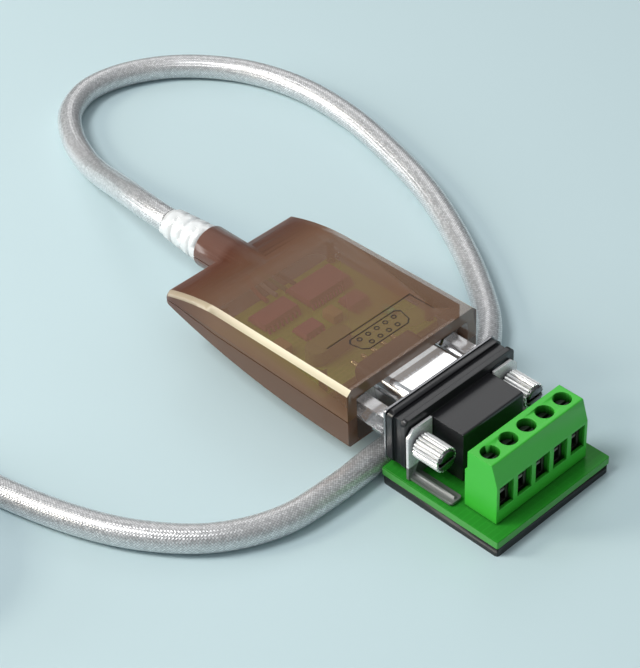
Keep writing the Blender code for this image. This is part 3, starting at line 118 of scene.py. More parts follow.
class Wiring:
    """Adds nodes to one node tree and joins their sockets."""

    def __init__(self, tree: bpy.types.NodeTree) -> None:
        """Keeps the tree that is being wired."""
        self.tree = tree

    def node(self, kind: str, **settings: object) -> bpy.types.Node:
        """Adds a node and sets its properties.

        Args:
            kind: the node's type.
            **settings: the properties and their values.

        Returns:
            The node.
        """
        made = self.tree.nodes.new(kind)
        for name, value in settings.items():
            setattr(made, name, value)
        return made

    def feed(self, into: bpy.types.NodeSocket, value: object) -> None:
        """Links a socket, or sets a plain value, into an input.

        Args:
            into: the input.
            value: an output to link, or what the input is set to.
        """
        if isinstance(value, bpy.types.NodeSocket):
            self.tree.links.new(value, into)
        else:
            into.default_value = value

    def put(self, kind: str, inputs: dict[str | int, object], **settings: object) -> bpy.types.Node:
        """Adds a node with its inputs fed, by name or by place.

        Args:
            kind: the node's type.
            inputs: an output or a value for each input.
            **settings: the properties and their values.

        Returns:
            The node.
        """
        made = self.node(kind, **settings)
        for name, value in inputs.items():
            self.feed(made.inputs[name], value)
        return made

    def maths(self, operation: str, *values: object) -> bpy.types.NodeSocket:
        """One Math node's result.

        Args:
            operation: what it works out.
            *values: an output or a number for each input.

        Returns:
            Its output.
        """
        made = self.node("ShaderNodeMath", operation=operation)
        for place, value in enumerate(values):
            self.feed(made.inputs[place], value)
        return made.outputs[0]

    def blend(self, factor: object, first: object, second: object) -> bpy.types.NodeSocket:
        """A colour between two, by a factor.

        Args:
            factor: 0 for the first colour, 1 for the second.
            first: an output or a plain colour.
            second: the same.

        Returns:
            The blended colour.
        """
        made = self.node("ShaderNodeMix", data_type="RGBA")
        self.feed(made.inputs["Factor"], factor)
        for place, value in ((6, first), (7, second)):
            self.feed(made.inputs[place], (*value, 1.0) if isinstance(value, tuple) else value)
        return made.outputs[2]

    def ramp(self, value: object, low: float, high: float,
             to_low: float = 0.0, to_high: float = 1.0) -> bpy.types.NodeSocket:
        """A value mapped from one range to another and clamped."""
        made = self.put("ShaderNodeMapRange", {0: value, 1: low, 2: high, 3: to_low, 4: to_high})
        return made.outputs[0]


def node_group(name: str, kind: Tree, inputs: dict[str, str], outputs: dict[str, str],
               wire: Callable[[Wiring, bpy.types.Node, bpy.types.Node], None]) -> bpy.types.NodeTree:
    """A node group, built on its first use.

    Args:
        name: the group's name.
        kind: what the group works on.
        inputs: each input's name and the kind of value it takes.
        outputs: each output's name and the kind of value it gives.
        wire: fills the group, given its wiring and its two end nodes.

    Returns:
        The group's tree.
    """
    found = bpy.data.node_groups.get(name)
    if found:
        return found
    tree = bpy.data.node_groups.new(name, kind.value)
    for direction, sockets in (("INPUT", inputs), ("OUTPUT", outputs)):
        for label, value in sockets.items():
            tree.interface.new_socket(name=label, in_out=direction, socket_type=f"NodeSocket{value}")
    wiring = Wiring(tree)
    wire(wiring, wiring.node("NodeGroupInput"), wiring.node("NodeGroupOutput"))
    return tree


def moulded_grain() -> bpy.types.NodeTree:
    """Fine moulding grain with soft tone and gloss changes.

    Returns:
        The group's tree.
    """
    noise_middle = 0.5
    tone_scale = 160.0
    gloss_swing = 0.12
    least_roughness = 0.03

    def wire(w: Wiring, given: bpy.types.Node, out: bpy.types.Node) -> None:
        """Wires broad tone noise and fine height noise.

        Args:
            w: the group's wiring.
            given: the node with the group's inputs.
            out: the node with its outputs.
        """
        tone = w.put("ShaderNodeTexNoise", {"Vector": given.outputs["Vector"], "Scale": tone_scale,
                                            "Detail": 3.0})
        fine = w.put("ShaderNodeTexNoise", {"Vector": given.outputs["Vector"],
                                            "Scale": given.outputs["Grain"], "Detail": 4.0})
        swing = w.maths("MULTIPLY", w.maths("SUBTRACT", tone.outputs[0], noise_middle),
                        given.outputs["Variation"])
        bright = w.put("ShaderNodeHueSaturation", {"Value": w.maths("ADD", swing, 1.0),
                                                   "Color": given.outputs["Colour"]})
        w.feed(out.inputs["Colour"], bright.outputs[0])
        rough = w.maths("MULTIPLY", w.maths("SUBTRACT", fine.outputs[0], noise_middle), gloss_swing)
        gloss = w.maths("ADD", rough, given.outputs["Roughness"])
        w.feed(out.inputs["Roughness"], w.maths("MAXIMUM", gloss, least_roughness))
        w.feed(out.inputs["Height"], fine.outputs[0])

    inputs = {"Vector": "Vector", "Colour": "Color", "Roughness": "Float", "Grain": "Float",
              "Variation": "Float"}
    outputs = {"Colour": "Color", "Roughness": "Float", "Height": "Float"}
    return node_group("moulded_grain", Tree.SHADER, inputs, outputs, wire)


def drawn_metal() -> bpy.types.NodeTree:
    """Plated metal: drawing lines along one way and a duller tone in patches.

    Returns:
        The group's tree.
    """
    stretch = (1.0, 0.08, 1.0)
    line_range = (0.3, 0.8)
    line_roughness = (-0.05, 0.12)
    least_roughness = 0.04
    patch_scale = 260.0
    patch_range = (0.35, 0.75)
    patch_share = 0.2
    patch_tone = (0.55, 0.55, 0.56)

    def wire(w: Wiring, given: bpy.types.Node, out: bpy.types.Node) -> None:
        """Wires stretched noise for the lines and broad noise for the patches.

        Args:
            w: the group's wiring.
            given: the node with the group's inputs.
            out: the node with its outputs.
        """
        stretched = w.put("ShaderNodeMapping", {"Vector": given.outputs["Vector"], "Scale": stretch})
        lines = w.put("ShaderNodeTexNoise", {"Vector": stretched.outputs[0],
                                             "Scale": given.outputs["Grain"], "Detail": 2.0})
        patches = w.put("ShaderNodeTexNoise", {"Vector": given.outputs["Vector"], "Scale": patch_scale,
                                               "Detail": 2.0})
        w.feed(out.inputs["Colour"], w.blend(w.ramp(patches.outputs[0], *patch_range, 0.0, patch_share),
                                             given.outputs["Colour"], patch_tone))
        rough = w.ramp(lines.outputs[0], *line_range, *line_roughness)
        gloss = w.maths("ADD", rough, given.outputs["Roughness"])
        w.feed(out.inputs["Roughness"], w.maths("MAXIMUM", gloss, least_roughness))
        w.feed(out.inputs["Height"], lines.outputs[0])

    inputs = {"Vector": "Vector", "Colour": "Color", "Roughness": "Float", "Grain": "Float"}
    outputs = {"Colour": "Color", "Roughness": "Float", "Height": "Float"}
    return node_group("drawn_metal", Tree.SHADER, inputs, outputs, wire)


def braid_weave() -> bpy.types.NodeTree:
    """Two sets of strands that wind opposite ways over and under each other, read from a tube's UV map.

    Returns:
        The group's tree.
    """
    under_height = 0.4
    wire_range = (0.15, 0.7)

    def wire(w: Wiring, given: bpy.types.Node, out: bpy.types.Node) -> None:
        """Args:
            w: the group's wiring.
            given: the node with the group's inputs.
            out: the node with its outputs.
        """
        split = w.put("ShaderNodeSeparateXYZ", {"Vector": given.outputs["Vector"]})
        around = w.maths("MULTIPLY", split.outputs["X"], given.outputs["Strands"])
        on = w.maths("DIVIDE", split.outputs["Y"], given.outputs["Pitch"])
        ways = [w.maths("ADD", around, on), w.maths("SUBTRACT", around, on)]
        crowns = [w.maths("ABSOLUTE", w.maths("SINE", w.maths("MULTIPLY", way, math.pi))) for way in ways]
        cells = [w.maths("FLOOR", way) for way in ways]
        over = w.maths("ABSOLUTE", w.maths("MODULO", w.maths("ADD", *cells), 2.0))
        top = w.put("ShaderNodeMix", {"Factor": over, 2: crowns[0], 3: crowns[1]},
                    data_type="FLOAT").outputs[0]
        under = w.maths("MULTIPLY", w.maths("MINIMUM", *crowns), under_height)
        height = w.maths("MAXIMUM", top, under)
        w.feed(out.inputs["Height"], height)
        w.feed(out.inputs["Wire"], w.ramp(height, *wire_range))
        strand = w.put("ShaderNodeCombineXYZ", {"X": cells[0], "Y": cells[1]})
        glint = w.put("ShaderNodeTexWhiteNoise", {"Vector": strand.outputs[0]}, noise_dimensions="2D")
        w.feed(out.inputs["Glint"], glint.outputs["Value"])

    inputs = {"Vector": "Vector", "Strands": "Float", "Pitch": "Float"}
    outputs = {"Height": "Float", "Wire": "Float", "Glint": "Float"}
    return node_group("braid_weave", Tree.SHADER, inputs, outputs, wire)


@dataclass(frozen=True)
class Finish:
    """One finish: its colour, its gloss and the fine relief that catches the light.

    The grain is a scale of noise, the depth is the strength of the relief, and the edge is the radius that
    sharp edges seem to have.
    """

    name: str
    colour: Colour
    roughness: float = 0.4
    grain: float = 2600.0
    depth: float = 0.15
    variation: float = 0.12
    coat: float = 0.0
    coat_roughness: float = 0.08
    specular: float = 0.5
    edge: float = 0.15 * MM
    relief_height: float = 0.05 * MM

    @cache
    def material(self) -> bpy.types.Material:
        """The material, made on its first use.

        Returns:
            The material.
        """
        made = bpy.data.materials.new(self.name)
        made.use_nodes = True
        made.node_tree.nodes.clear()
        w = Wiring(made.node_tree)
        shader = w.node("ShaderNodeBsdfPrincipled")
        output = w.node("ShaderNodeOutputMaterial")
        w.feed(output.inputs["Surface"], shader.outputs[0])
        self.wire(w, shader, w.node("ShaderNodeTexCoord").outputs["Object"])
        return made

    def relief(self, w: Wiring, shader: bpy.types.Node, height: bpy.types.NodeSocket) -> None:
        """Feeds the shader's normal: edges rounded by a hair, then the fine relief.

        Args:
            w: the material's wiring.
            shader: its Principled shader.
            height: the relief's height.
        """
        soft = w.put("ShaderNodeBevel", {"Radius": self.edge}, samples=6)
        bump = w.put("ShaderNodeBump", {"Strength": self.depth, "Distance": self.relief_height,
                                        "Height": height, "Normal": soft.outputs[0]})
        w.feed(shader.inputs["Normal"], bump.outputs[0])

    def wire(self, w: Wiring, shader: bpy.types.Node, place: bpy.types.NodeSocket) -> None:
        """Wires a moulded finish.

        Args:
            w: the material's wiring.
            shader: its Principled shader.
            place: a point in the piece's own coordinates.
        """
        grain = w.put("ShaderNodeGroup", {"Vector": place, "Colour": (*self.colour, 1.0),
                                          "Roughness": self.roughness, "Grain": self.grain,
                                          "Variation": self.variation}, node_tree=moulded_grain())
        w.feed(shader.inputs["Base Color"], grain.outputs["Colour"])
        w.feed(shader.inputs["Roughness"], grain.outputs["Roughness"])
        shader.inputs["Coat Weight"].default_value = self.coat
        shader.inputs["Coat Roughness"].default_value = self.coat_roughness
        shader.inputs["Specular IOR Level"].default_value = self.specular
        self.relief(w, shader, grain.outputs["Height"])


@dataclass(frozen=True)
class RecessShade(Finish):
    """A moulded finish with painted shade: it darkens where its recesses close in, looked for within a reach.
    """

    reach: float = 4 * MM
    # The colour of the painted shade where the recesses close in
    deep: Colour = (0.0, 0.0, 0.0)
    openness: tuple[float, float] = (0.2, 0.62)

    def wire(self, w: Wiring, shader: bpy.types.Node, place: bpy.types.NodeSocket) -> None:
        """Wires the moulded finish, blended from its deep colour, a painted shade, by how open a point is.

        Args:
            w: the material's wiring.
            shader: its Principled shader.
            place: a point in the piece's own coordinates.
        """
        super().wire(w, shader, place)
        open_colour = shader.inputs["Base Color"].links[0].from_socket
        # Painted shade: darker where ambient occlusion finds the recesses closing in
        around = w.put("ShaderNodeAmbientOcclusion", {"Distance": self.reach}, samples=8)
        share = w.ramp(around.outputs["AO"], *self.openness)
        w.feed(shader.inputs["Base Color"], w.blend(share, self.deep, open_colour))


@dataclass(frozen=True)
class Metal(Finish):
    """Plated or drawn metal."""

    roughness: float = 0.2
    grain: float = 4200.0
    depth: float = 0.02
    metallic: float = 1.0

    def wire(self, w: Wiring, shader: bpy.types.Node, place: bpy.types.NodeSocket) -> None:
        """Wires a metal with drawing lines.

        Args:
            w: the material's wiring.
            shader: its Principled shader.
            place: a point in the piece's own coordinates.
        """
        drawn = w.put("ShaderNodeGroup", {"Vector": place, "Colour": (*self.colour, 1.0),
                                          "Roughness": self.roughness, "Grain": self.grain},
                      node_tree=drawn_metal())
        w.feed(shader.inputs["Base Color"], drawn.outputs["Colour"])
        w.feed(shader.inputs["Roughness"], drawn.outputs["Roughness"])
        shader.inputs["Metallic"].default_value = self.metallic
        self.relief(w, shader, drawn.outputs["Height"])


@dataclass(frozen=True)
class ShadedFootMetal(Metal):
    """Bright metal whose foot, up to a height over the floor, is painted dull and dark: painted shade and a
    painted dark reflection.
    """

    foot_top: float = 7.0 * MM
    foot_fade: float = 0.3 * MM
    # The colour of the painted shade and dark reflection on the foot
    foot_shade: Colour = (0.2, 0.21, 0.2)

    def wire(self, w: Wiring, shader: bpy.types.Node, place: bpy.types.NodeSocket) -> None:
        """Wires the metal and the foot's painted shade.

        Args:
            w: the material's wiring.
            shader: its Principled shader.
            place: a point in the piece's own coordinates.
        """
        super().wire(w, shader, place)
        bright = shader.inputs["Base Color"].links[0].from_socket
        height = w.put("ShaderNodeSeparateXYZ", {"Vector": place}).outputs["Z"]
        # Painted shade: the foot is dark up to its top
        foot = w.ramp(height, self.foot_top, self.foot_top + self.foot_fade, 1.0, 0.0)
        w.feed(shader.inputs["Base Color"], w.blend(foot, bright, self.foot_shade))


@dataclass(frozen=True)
class Clear(Finish):
    """See-through plastic: body is how much of each surface shows, rim how much at a glancing angle.

    Of its far walls, seen from inside, the inner share shows. It covers more over the slanted range of
    angles and is deeper in colour over the steep one, and both between the two places along the model where
    its wall grows thick. The upper edges of its flanks carry a painted highlight that is pale and covers
    more, less so from the start of the fading towards the neck, which has a colour and a gloss of its own.
    """

    body: float = 0.5
    rim: float = 0.9
    inner: float = 0.15
    ior: float = 1.5
    deep: Colour = (0.8, 0.8, 0.8)
    # The colour of the painted highlight on the upper edges of the flanks
    painted_highlight: Colour = (0.8, 0.8, 0.8)
    slanted: tuple[float, float] = (0.4, 0.8)
    steep: tuple[float, float] = (0.5, 0.8)
    thick: tuple[float, float] = (1.0, 2.0)
    flanks: tuple[float, float] = (8 * MM, 9 * MM)
    fading_start: float = 0.2
    faded: float = 0.45
    neck: float = 1.0
    neck_blend: float = 1 * MM
    neck_roughness: float = 0.2
    neck_colour: Colour = (0.8, 0.8, 0.8)

    def wire(self, w: Wiring, shader: bpy.types.Node, place: bpy.types.NodeSocket) -> None:
        """Wires the moulded finish, clear where it is seen square on and deeper in colour elsewhere.

        Args:
            w: the material's wiring.
            shader: its Principled shader.
            place: a point in the piece's own coordinates.
        """
        super().wire(w, shader, place)
        facing = w.put("ShaderNodeLayerWeight", {"Blend": 0.5}).outputs["Facing"]
        plain = shader.inputs["Base Color"].links[0].from_socket
        spot = w.put("ShaderNodeSeparateXYZ", {"Vector": place})
        along, aside = spot.outputs["Y"], w.maths("ABSOLUTE", spot.outputs["X"])
        deepening = w.maths("MAXIMUM", w.ramp(facing, *self.steep), w.ramp(along, *self.thick))
        surface = w.node("ShaderNodeNewGeometry")
        # A painted highlight on the upper chamfers of the flanks, faded towards the neck and more opaque
        # there
        face = w.put("ShaderNodeSeparateXYZ", {"Vector": surface.outputs["True Normal"]})
        sideways = w.ramp(w.maths("ABSOLUTE", face.outputs["X"]), *LOOKS)
        edge = w.maths("MULTIPLY", sideways, w.ramp(face.outputs["Z"], *LOOKS))
        edge = w.maths("MULTIPLY", edge, w.ramp(aside, *self.flanks))
        fading = w.ramp(along, self.fading_start * self.neck, self.neck, 1.0, self.faded)
        edge = w.maths("MULTIPLY", edge, fading)
        beyond = w.ramp(along, self.neck - self.neck_blend, self.neck + self.neck_blend)
        w.feed(shader.inputs["Roughness"], w.ramp(beyond, 0.0, 1.0, self.roughness, self.neck_roughness))
        deepened = w.blend(beyond, w.blend(deepening, plain, self.deep), self.neck_colour)
        w.feed(shader.inputs["Base Color"], w.blend(edge, deepened, self.painted_highlight))
        covering = w.maths("MAXIMUM", w.ramp(facing, *self.slanted), w.ramp(along, *self.thick))
        covering = w.maths("MAXIMUM", covering, edge)
        outer = w.ramp(covering, 0.0, 1.0, self.body, self.rim)
        w.feed(shader.inputs["Alpha"], w.ramp(surface.outputs["Backfacing"], 0.0, 1.0, outer, self.inner))
        shader.inputs["IOR"].default_value = self.ior


@dataclass(frozen=True)
class SolderMask(Finish):
    """A circuit board: glossy mask over copper tracks on its faces, bare glass fibre on its edges."""

    edge_colour: Colour = (0.09, 0.38, 0.08)
    track_colour: Colour = (0.05, 0.36, 0.08)
    track_scale: float = 320.0
    track_edge: tuple[float, float] = (0.2, 0.8)
    track_share: float = 0.8

    def wire(self, w: Wiring, shader: bpy.types.Node, place: bpy.types.NodeSocket) -> None:
        """Wires the mask over tracks and the pale cut edge.

        Args:
            w: the material's wiring.
            shader: its Principled shader.
            place: a point in the piece's own coordinates.
        """
        super().wire(w, shader, place)
        mask = shader.inputs["Base Color"].links[0].from_socket
        tracks = w.put("ShaderNodeTexBrick", {"Vector": place, "Scale": self.track_scale,
                                              "Mortar Size": 0.05, "Brick Width": 1.7, "Row Height": 0.4})
        between = w.ramp(tracks.outputs["Fac"], *self.track_edge, 0.0, self.track_share)
        covered = w.blend(between, mask, self.track_colour)
        normal = w.node("ShaderNodeNewGeometry").outputs["Normal"]
        upright = w.put("ShaderNodeSeparateXYZ", {"Vector": normal})
        side = w.ramp(w.maths("ABSOLUTE", upright.outputs["Z"]), *LOOKS, 1.0, 0.0)
        w.feed(shader.inputs["Base Color"], w.blend(side, covered, self.edge_colour))


@dataclass(frozen=True)
class Braid(Finish):
    """A woven wire screen on a tube that has a UV map: x once round, y in metres along it.

    Each strand has a random glint of its own, which sets its tone from the dimmest share to the full colour
    as a painted glint, and its gloss within a range.
    """

    strands: float = 28.0
    pitch: float = 0.65 * MM
    shade: Colour = (0.38, 0.37, 0.38)
    dimmest: float = 0.66
    gloss: tuple[float, float] = (0.28, 0.4)
    metallic: float = 0.6
    coat: float = 1.0
    coat_roughness: float = 0.06
    relief_height: float = 0.2 * MM

    def wire(self, w: Wiring, shader: bpy.types.Node, place: bpy.types.NodeSocket) -> None:
        """Wires strands that shine and gaps that are dark.

        Args:
            w: the material's wiring.
            shader: its Principled shader.
            place: a point in the piece's own coordinates, which the UV map stands in for.
        """
        along = w.node("ShaderNodeUVMap").outputs["UV"]
        weave = w.put("ShaderNodeGroup", {"Vector": along, "Strands": self.strands, "Pitch": self.pitch},
                      node_tree=braid_weave())
        # Painted glints: each strand's tone lies between its dim share and the full colour
        dim = tuple(self.dimmest * part for part in self.colour)
        bright = w.blend(weave.outputs["Glint"], dim, self.colour)
        w.feed(shader.inputs["Base Color"], w.blend(weave.outputs["Wire"], self.shade, bright))
        w.feed(shader.inputs["Roughness"], w.ramp(weave.outputs["Glint"], 0.0, 1.0, *self.gloss))
        shader.inputs["Metallic"].default_value = self.metallic
        shader.inputs["Coat Weight"].default_value = self.coat
        shader.inputs["Coat Roughness"].default_value = self.coat_roughness
        bump = w.put("ShaderNodeBump", {"Strength": self.depth, "Distance": self.relief_height,
                                        "Height": weave.outputs["Height"]})
        w.feed(shader.inputs["Normal"], bump.outputs[0])


# The hood's clear brown, with a pale painted highlight along the upper edges of its flanks
HOOD_BROWN = Clear("hood_brown", (0.185, 0.085, 0.035), 0.34, depth=0.01, variation=0.1, body=0.62,
                   rim=0.97, inner=0.1, deep=(0.10, 0.03, 0.013), painted_highlight=(0.80, 0.70, 0.50),
                   slanted=(0.38, 0.52), thick=(20 * MM, 33 * MM), neck=34 * MM, neck_roughness=0.28,
                   neck_colour=(0.15, 0.07, 0.05), edge=0.05 * MM)
# A darker, less clear copy of the hood's brown for the lower shell: painted shade on the lower half
SHADED_HOOD_BASE = replace(HOOD_BROWN, name="hood_brown_base_shaded", colour=(0.13, 0.06, 0.03), body=0.88)
CLEAR_VINYL = Clear("clear_vinyl", (0.88, 0.90, 0.91), roughness=0.2, depth=0.01, variation=0.05, coat=0.4,
                    body=0.9, rim=0.98, inner=0.3)
BRAIDED_LEAD = Braid("braided_lead", (0.90, 0.90, 0.91), depth=0.28)
INNER_BOARD = SolderMask("inner_board", (0.38, 0.55, 0.03), 0.5, track_colour=(0.46, 0.58, 0.06),
                         edge_colour=(0.6, 0.6, 0.25))
ADAPTER_MASK = SolderMask("adapter_mask", (0.025, 0.27, 0.025), 0.3, specular=0.15, depth=0.05,
                          track_colour=(0.03, 0.30, 0.03))
CHIP_EPOXY = Finish("chip_epoxy", (0.50, 0.13, 0.17), 0.5)
LAMP_LENS = Finish("lamp_lens", (0.1, 0.7, 0.15), 0.25, coat=0.5)
TANTALUM = Finish("tantalum_case", (0.62, 0.42, 0.12), 0.45)
BLACK_NYLON = Finish("black_nylon", (0.014, 0.014, 0.016), 0.3, grain=3400.0, depth=0.1,
                     variation=0.3, coat=0.1, edge=0.25 * MM)
PAD_BLACK = Finish("pad_black", (0.018, 0.02, 0.02), 0.45, depth=0.25, edge=0.3 * MM)
# The terminal's green, with painted shade in its openings and screw holes
TERMINAL_GREEN = RecessShade("terminal_green", (0.05, 0.53, 0.04), 0.34, depth=0.1, variation=0.08,
                          edge=0.2 * MM, deep=(0.003, 0.06, 0.003))
STEEL = Metal("tinned_steel", (0.93, 0.93, 0.93), 0.14, edge=0.2 * MM)
NICKEL = Metal("bright_nickel", (0.92, 0.92, 0.93), 0.14, depth=0.0, edge=0.06 * MM)
CRYSTAL_CAN = Finish("crystal_case", (0.34, 0.36, 0.10), 0.8, specular=0.1)
GILT = Metal("gilt_contact", (0.85, 0.66, 0.30), 0.22)
# Darkened shell steel: painted shade behind the black flange, so that no bright rim shows there
SHADED_SOCKET_STEEL = replace(STEEL, name="shaded_socket_steel", colour=(0.30, 0.30, 0.31), roughness=0.3)
# The brackets: bright zinc with painted shade and a painted dark reflection on their feet
BRACKET_STEEL = ShadedFootMetal("bracket_zinc", (0.98, 0.98, 0.98), 0.3, metallic=0.25)
KNURLED_STEEL = Metal("knurled_nickel", (0.96, 0.96, 0.96), 0.2, depth=0.0, edge=0.06 * MM, metallic=0.55)
# Dark body of the thumb screws: painted shade in the grooves between the ridges and on the end face
SHADED_SCREW_CORE = Metal("shaded_screw_core", (0.12, 0.12, 0.125), 0.3, edge=0.12 * MM)
# Dark clamp screws: painted shade deep in the terminal's screw holes, faintly green
SHADED_CLAMP_STEEL = Metal("shaded_clamp_steel", (0.04, 0.06, 0.04), 0.45)
# Dark clamp cages: painted shade inside the terminal's openings
SHADED_CAGE_METAL = Metal("shaded_cage", (0.10, 0.10, 0.08), 0.5)
# Dark blades: painted shade inside the terminal's openings
SHADED_BLADE_TIN = Metal("shaded_blade_tin", (0.25, 0.24, 0.21), 0.45)
PRINT_INK = Finish("print_ink", (0.03, 0.018, 0.012), 0.5, depth=0.1)
PLUG_GREY = Finish("plug_grey", (0.72, 0.73, 0.73), 0.35, depth=0.2)
TONGUE = Finish("tongue_ivory", (0.82, 0.82, 0.80), 0.45)
TIE_BLACK = Finish("tie_black", (0.03, 0.03, 0.03), 0.6, depth=0.4)
CORES = {
    "red": Finish("core_red", (0.32, 0.05, 0.04), 0.4),
    "white": Finish("core_white", (0.4, 0.38, 0.34), 0.4),
    "green": Finish("core_green", (0.07, 0.2, 0.07), 0.4),
    "black": Finish("core_black", (0.03, 0.03, 0.03), 0.4),
}


def rider(node: str) -> str:
    """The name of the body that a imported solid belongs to."""
    return body_of(bpy.data.objects[node])[0]


@cache
def surface_of(node: str) -> BVHTree:
    """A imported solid's surface, to seat small pieces on."""
    mesh = bpy.data.objects[node].data
    return BVHTree.FromPolygons([v.co for v in mesh.vertices], [tuple(f.vertices) for f in mesh.polygons])


def settle(obj: bpy.types.Object, finish: Finish, carrier: str,
           nodes: Sequence[str] = ()) -> bpy.types.Object:
    """Dresses a finished piece and hands it to the frame.

    Args:
        obj: the piece, in place, linked or not.
        finish: what it is made of.
        carrier: a solid that it moves with.
        nodes: the solids that it replaces.

    Returns:
        The same object.
    """
    if obj.name not in bpy.context.scene.collection.objects:
        bpy.context.scene.collection.objects.link(obj)
    if obj.type == "MESH" and not obj.data.materials:
        obj.data.materials.append(finish.material())
    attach(obj, rider(carrier))
    if nodes:
        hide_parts(*nodes)
    LOG.info("%s: %d faces", obj.name, len(obj.data.polygons) if obj.type == "MESH" else 0)
    return obj


def to_object(name: str, bm: bmesh.types.BMesh, sharp: float = 35.0) -> bpy.types.Object:
    """A mesh object shaded smooth up to an angle; the mesh being built is used up.

    Args:
        name: the object's name.
        bm: the mesh being built.
        sharp: the angle in degrees past which an edge is sharp.

    Returns:
        The object, not linked yet.
    """
    mesh = bpy.data.meshes.new(name)
    bm.to_mesh(mesh)
    bm.free()
    mesh.shade_smooth()
    mesh.set_sharp_from_angle(angle=math.radians(sharp))
    return bpy.data.objects.new(name, mesh)


@dataclass
class Skin:
    """A copy of one solid: doubles merged, flat faces joined, shading set by the large faces.

    Edges sharper than the sharp angle, in degrees, stay sharp. Where an edge width is given they are
    bevelled by it, in so many segments.
    """

    node: str
    finish: Finish
    slot: str
    edge: float = 0.0
    segments: int = 2
    sharp: float = 35.0

    def build(self) -> bpy.types.Object:
        """Makes the copy and puts it in the solid's place.

        Returns:
            The copy.
        """
        bm = bmesh.new()
        bm.from_mesh(bpy.data.objects[self.node].data)
        bmesh.ops.remove_doubles(bm, verts=bm.verts, dist=MERGE)
        bmesh.ops.dissolve_limit(bm, angle_limit=math.radians(FLAT), verts=bm.verts, edges=bm.edges)
        obj = to_object(f"{self.node}_skin", bm, self.sharp)
        bpy.context.scene.collection.objects.link(obj)
        if self.edge:
            bevel = obj.modifiers.new("edge", "BEVEL")
            bevel.width = self.edge
            bevel.segments = self.segments
            bevel.limit_method = "ANGLE"
            bevel.angle_limit = math.radians(self.sharp)
        weighted = obj.modifiers.new("shading", "WEIGHTED_NORMAL")
        weighted.keep_sharp = True
        return settle(obj, self.finish, self.node, [self.node])


def repeated() -> bpy.types.NodeTree:
    """Copies of a small mesh: each is a step further on, turned a bit more about Y and a bit smaller.

    Returns:
        The group's tree.
    """

    def wire(w: Wiring, given: bpy.types.Node, out: bpy.types.Node) -> None:
        """Wires a line of points, the copies on it, their realizing and their material.

        Args:
            w: the group's wiring.
            given: the node with the group's inputs.
            out: the node with its outputs.
        """
        line = w.put("GeometryNodeMeshLine", {"Count": given.outputs["Count"],
                                              "Start Location": given.outputs["Start"],
                                              "Offset": given.outputs["Step"]}, mode="OFFSET")
        index = w.node("GeometryNodeInputIndex").outputs[0]
        turn = w.put("ShaderNodeCombineXYZ", {"Y": w.maths("MULTIPLY", index, given.outputs["Turn"])})
        size = w.maths("SUBTRACT", 1.0, w.maths("MULTIPLY", index, given.outputs["Shrink"]))
        scale = w.put("ShaderNodeCombineXYZ", {"X": size, "Y": 1.0, "Z": size})
        copies = w.put("GeometryNodeInstanceOnPoints", {"Points": line.outputs[0],
                                                        "Instance": given.outputs["Geometry"],
                                                        "Rotation": turn.outputs[0],
                                                        "Scale": scale.outputs[0]})
        real = w.put("GeometryNodeRealizeInstances", {"Geometry": copies.outputs[0]})
        dressed = w.put("GeometryNodeSetMaterial", {"Geometry": real.outputs[0],
                                                    "Material": given.outputs["Finish"]})
        w.feed(out.inputs["Geometry"], dressed.outputs[0])

    inputs = {"Geometry": "Geometry", "Count": "Int", "Start": "Vector", "Step": "Vector", "Turn": "Float",
              "Shrink": "Float", "Finish": "Material"}
    return node_group("repeated", Tree.GEOMETRY, inputs, {"Geometry": "Geometry"}, wire)


@dataclass
class Repeat:
    """One mesh repeated by the Geometry Nodes tree, then made plain.

    The first copy is at the start. Each one after it is a step further on, turned by some radians more
    about Y, and smaller by a share.
    """

    name: str
    unit: bpy.types.Object
    finish: Finish
    count: int
    start: Vector
    step: Vector = field(default_factory=Vector)
    turn: float = 0.0
    shrink: float = 0.0

    def build(self) -> bpy.types.Object:
        """Grows the copies and makes them one plain mesh, linked and dressed.

        Returns:
            The object.
        """
        obj = self.unit
        obj.name = self.name
        bpy.context.scene.collection.objects.link(obj)
        tree = repeated()
        grown = obj.modifiers.new("repeat", "NODES")
        grown.node_group = tree
        values = {"Count": self.count, "Start": self.start, "Step": self.step, "Turn": self.turn,
                  "Shrink": self.shrink, "Finish": self.finish.material()}
        for item in tree.interface.items_tree:
            if item.in_out == "INPUT" and item.name in values:
                grown[item.identifier] = values[item.name]
        evaluated = obj.evaluated_get(bpy.context.evaluated_depsgraph_get())
        mesh = bpy.data.meshes.new_from_object(evaluated)
        obj.modifiers.clear()
        obj.data = mesh
        return obj


def add_prism(bm: bmesh.types.BMesh, outline: Sequence[Vector], rise: Vector) -> None:
    """Adds a closed prism: an outline and its copy a rise away.

    Args:
        bm: the mesh being built.
        outline: the points round its foot.
        rise: from its foot to its top.
    """
    low = [bm.verts.new(point) for point in outline]
    high = [bm.verts.new(point + rise) for point in outline]
    for index in range(len(low)):
        after = (index + 1) % len(low)
        bm.faces.new((low[index], low[after], high[after], high[index]))
    bm.faces.new(low)
    bm.faces.new(high)
    bmesh.ops.recalc_face_normals(bm, faces=bm.faces)


def add_band(bm: bmesh.types.BMesh, outer: Sequence[Vector], inner: Sequence[Vector], rise: Vector) -> None:
    """Adds a closed flat band between two outlines of equal point counts, a rise thick.

    Args:
        bm: the mesh being built.
        outer: the points round its outside.
        inner: as many points round its inside.
        rise: from its foot to its top.
    """
    rows = [[bm.verts.new(point + lift) for point in outline]
            for outline, lift in ((outer, Vector()), (outer, rise), (inner, rise), (inner, Vector()))]
    for row, following in zip(rows, [*rows[1:], rows[0]]):
        for index in range(len(row)):
            after = (index + 1) % len(row)
            bm.faces.new((row[index], row[after], following[after], following[index]))
    bmesh.ops.recalc_face_normals(bm, faces=bm.faces)


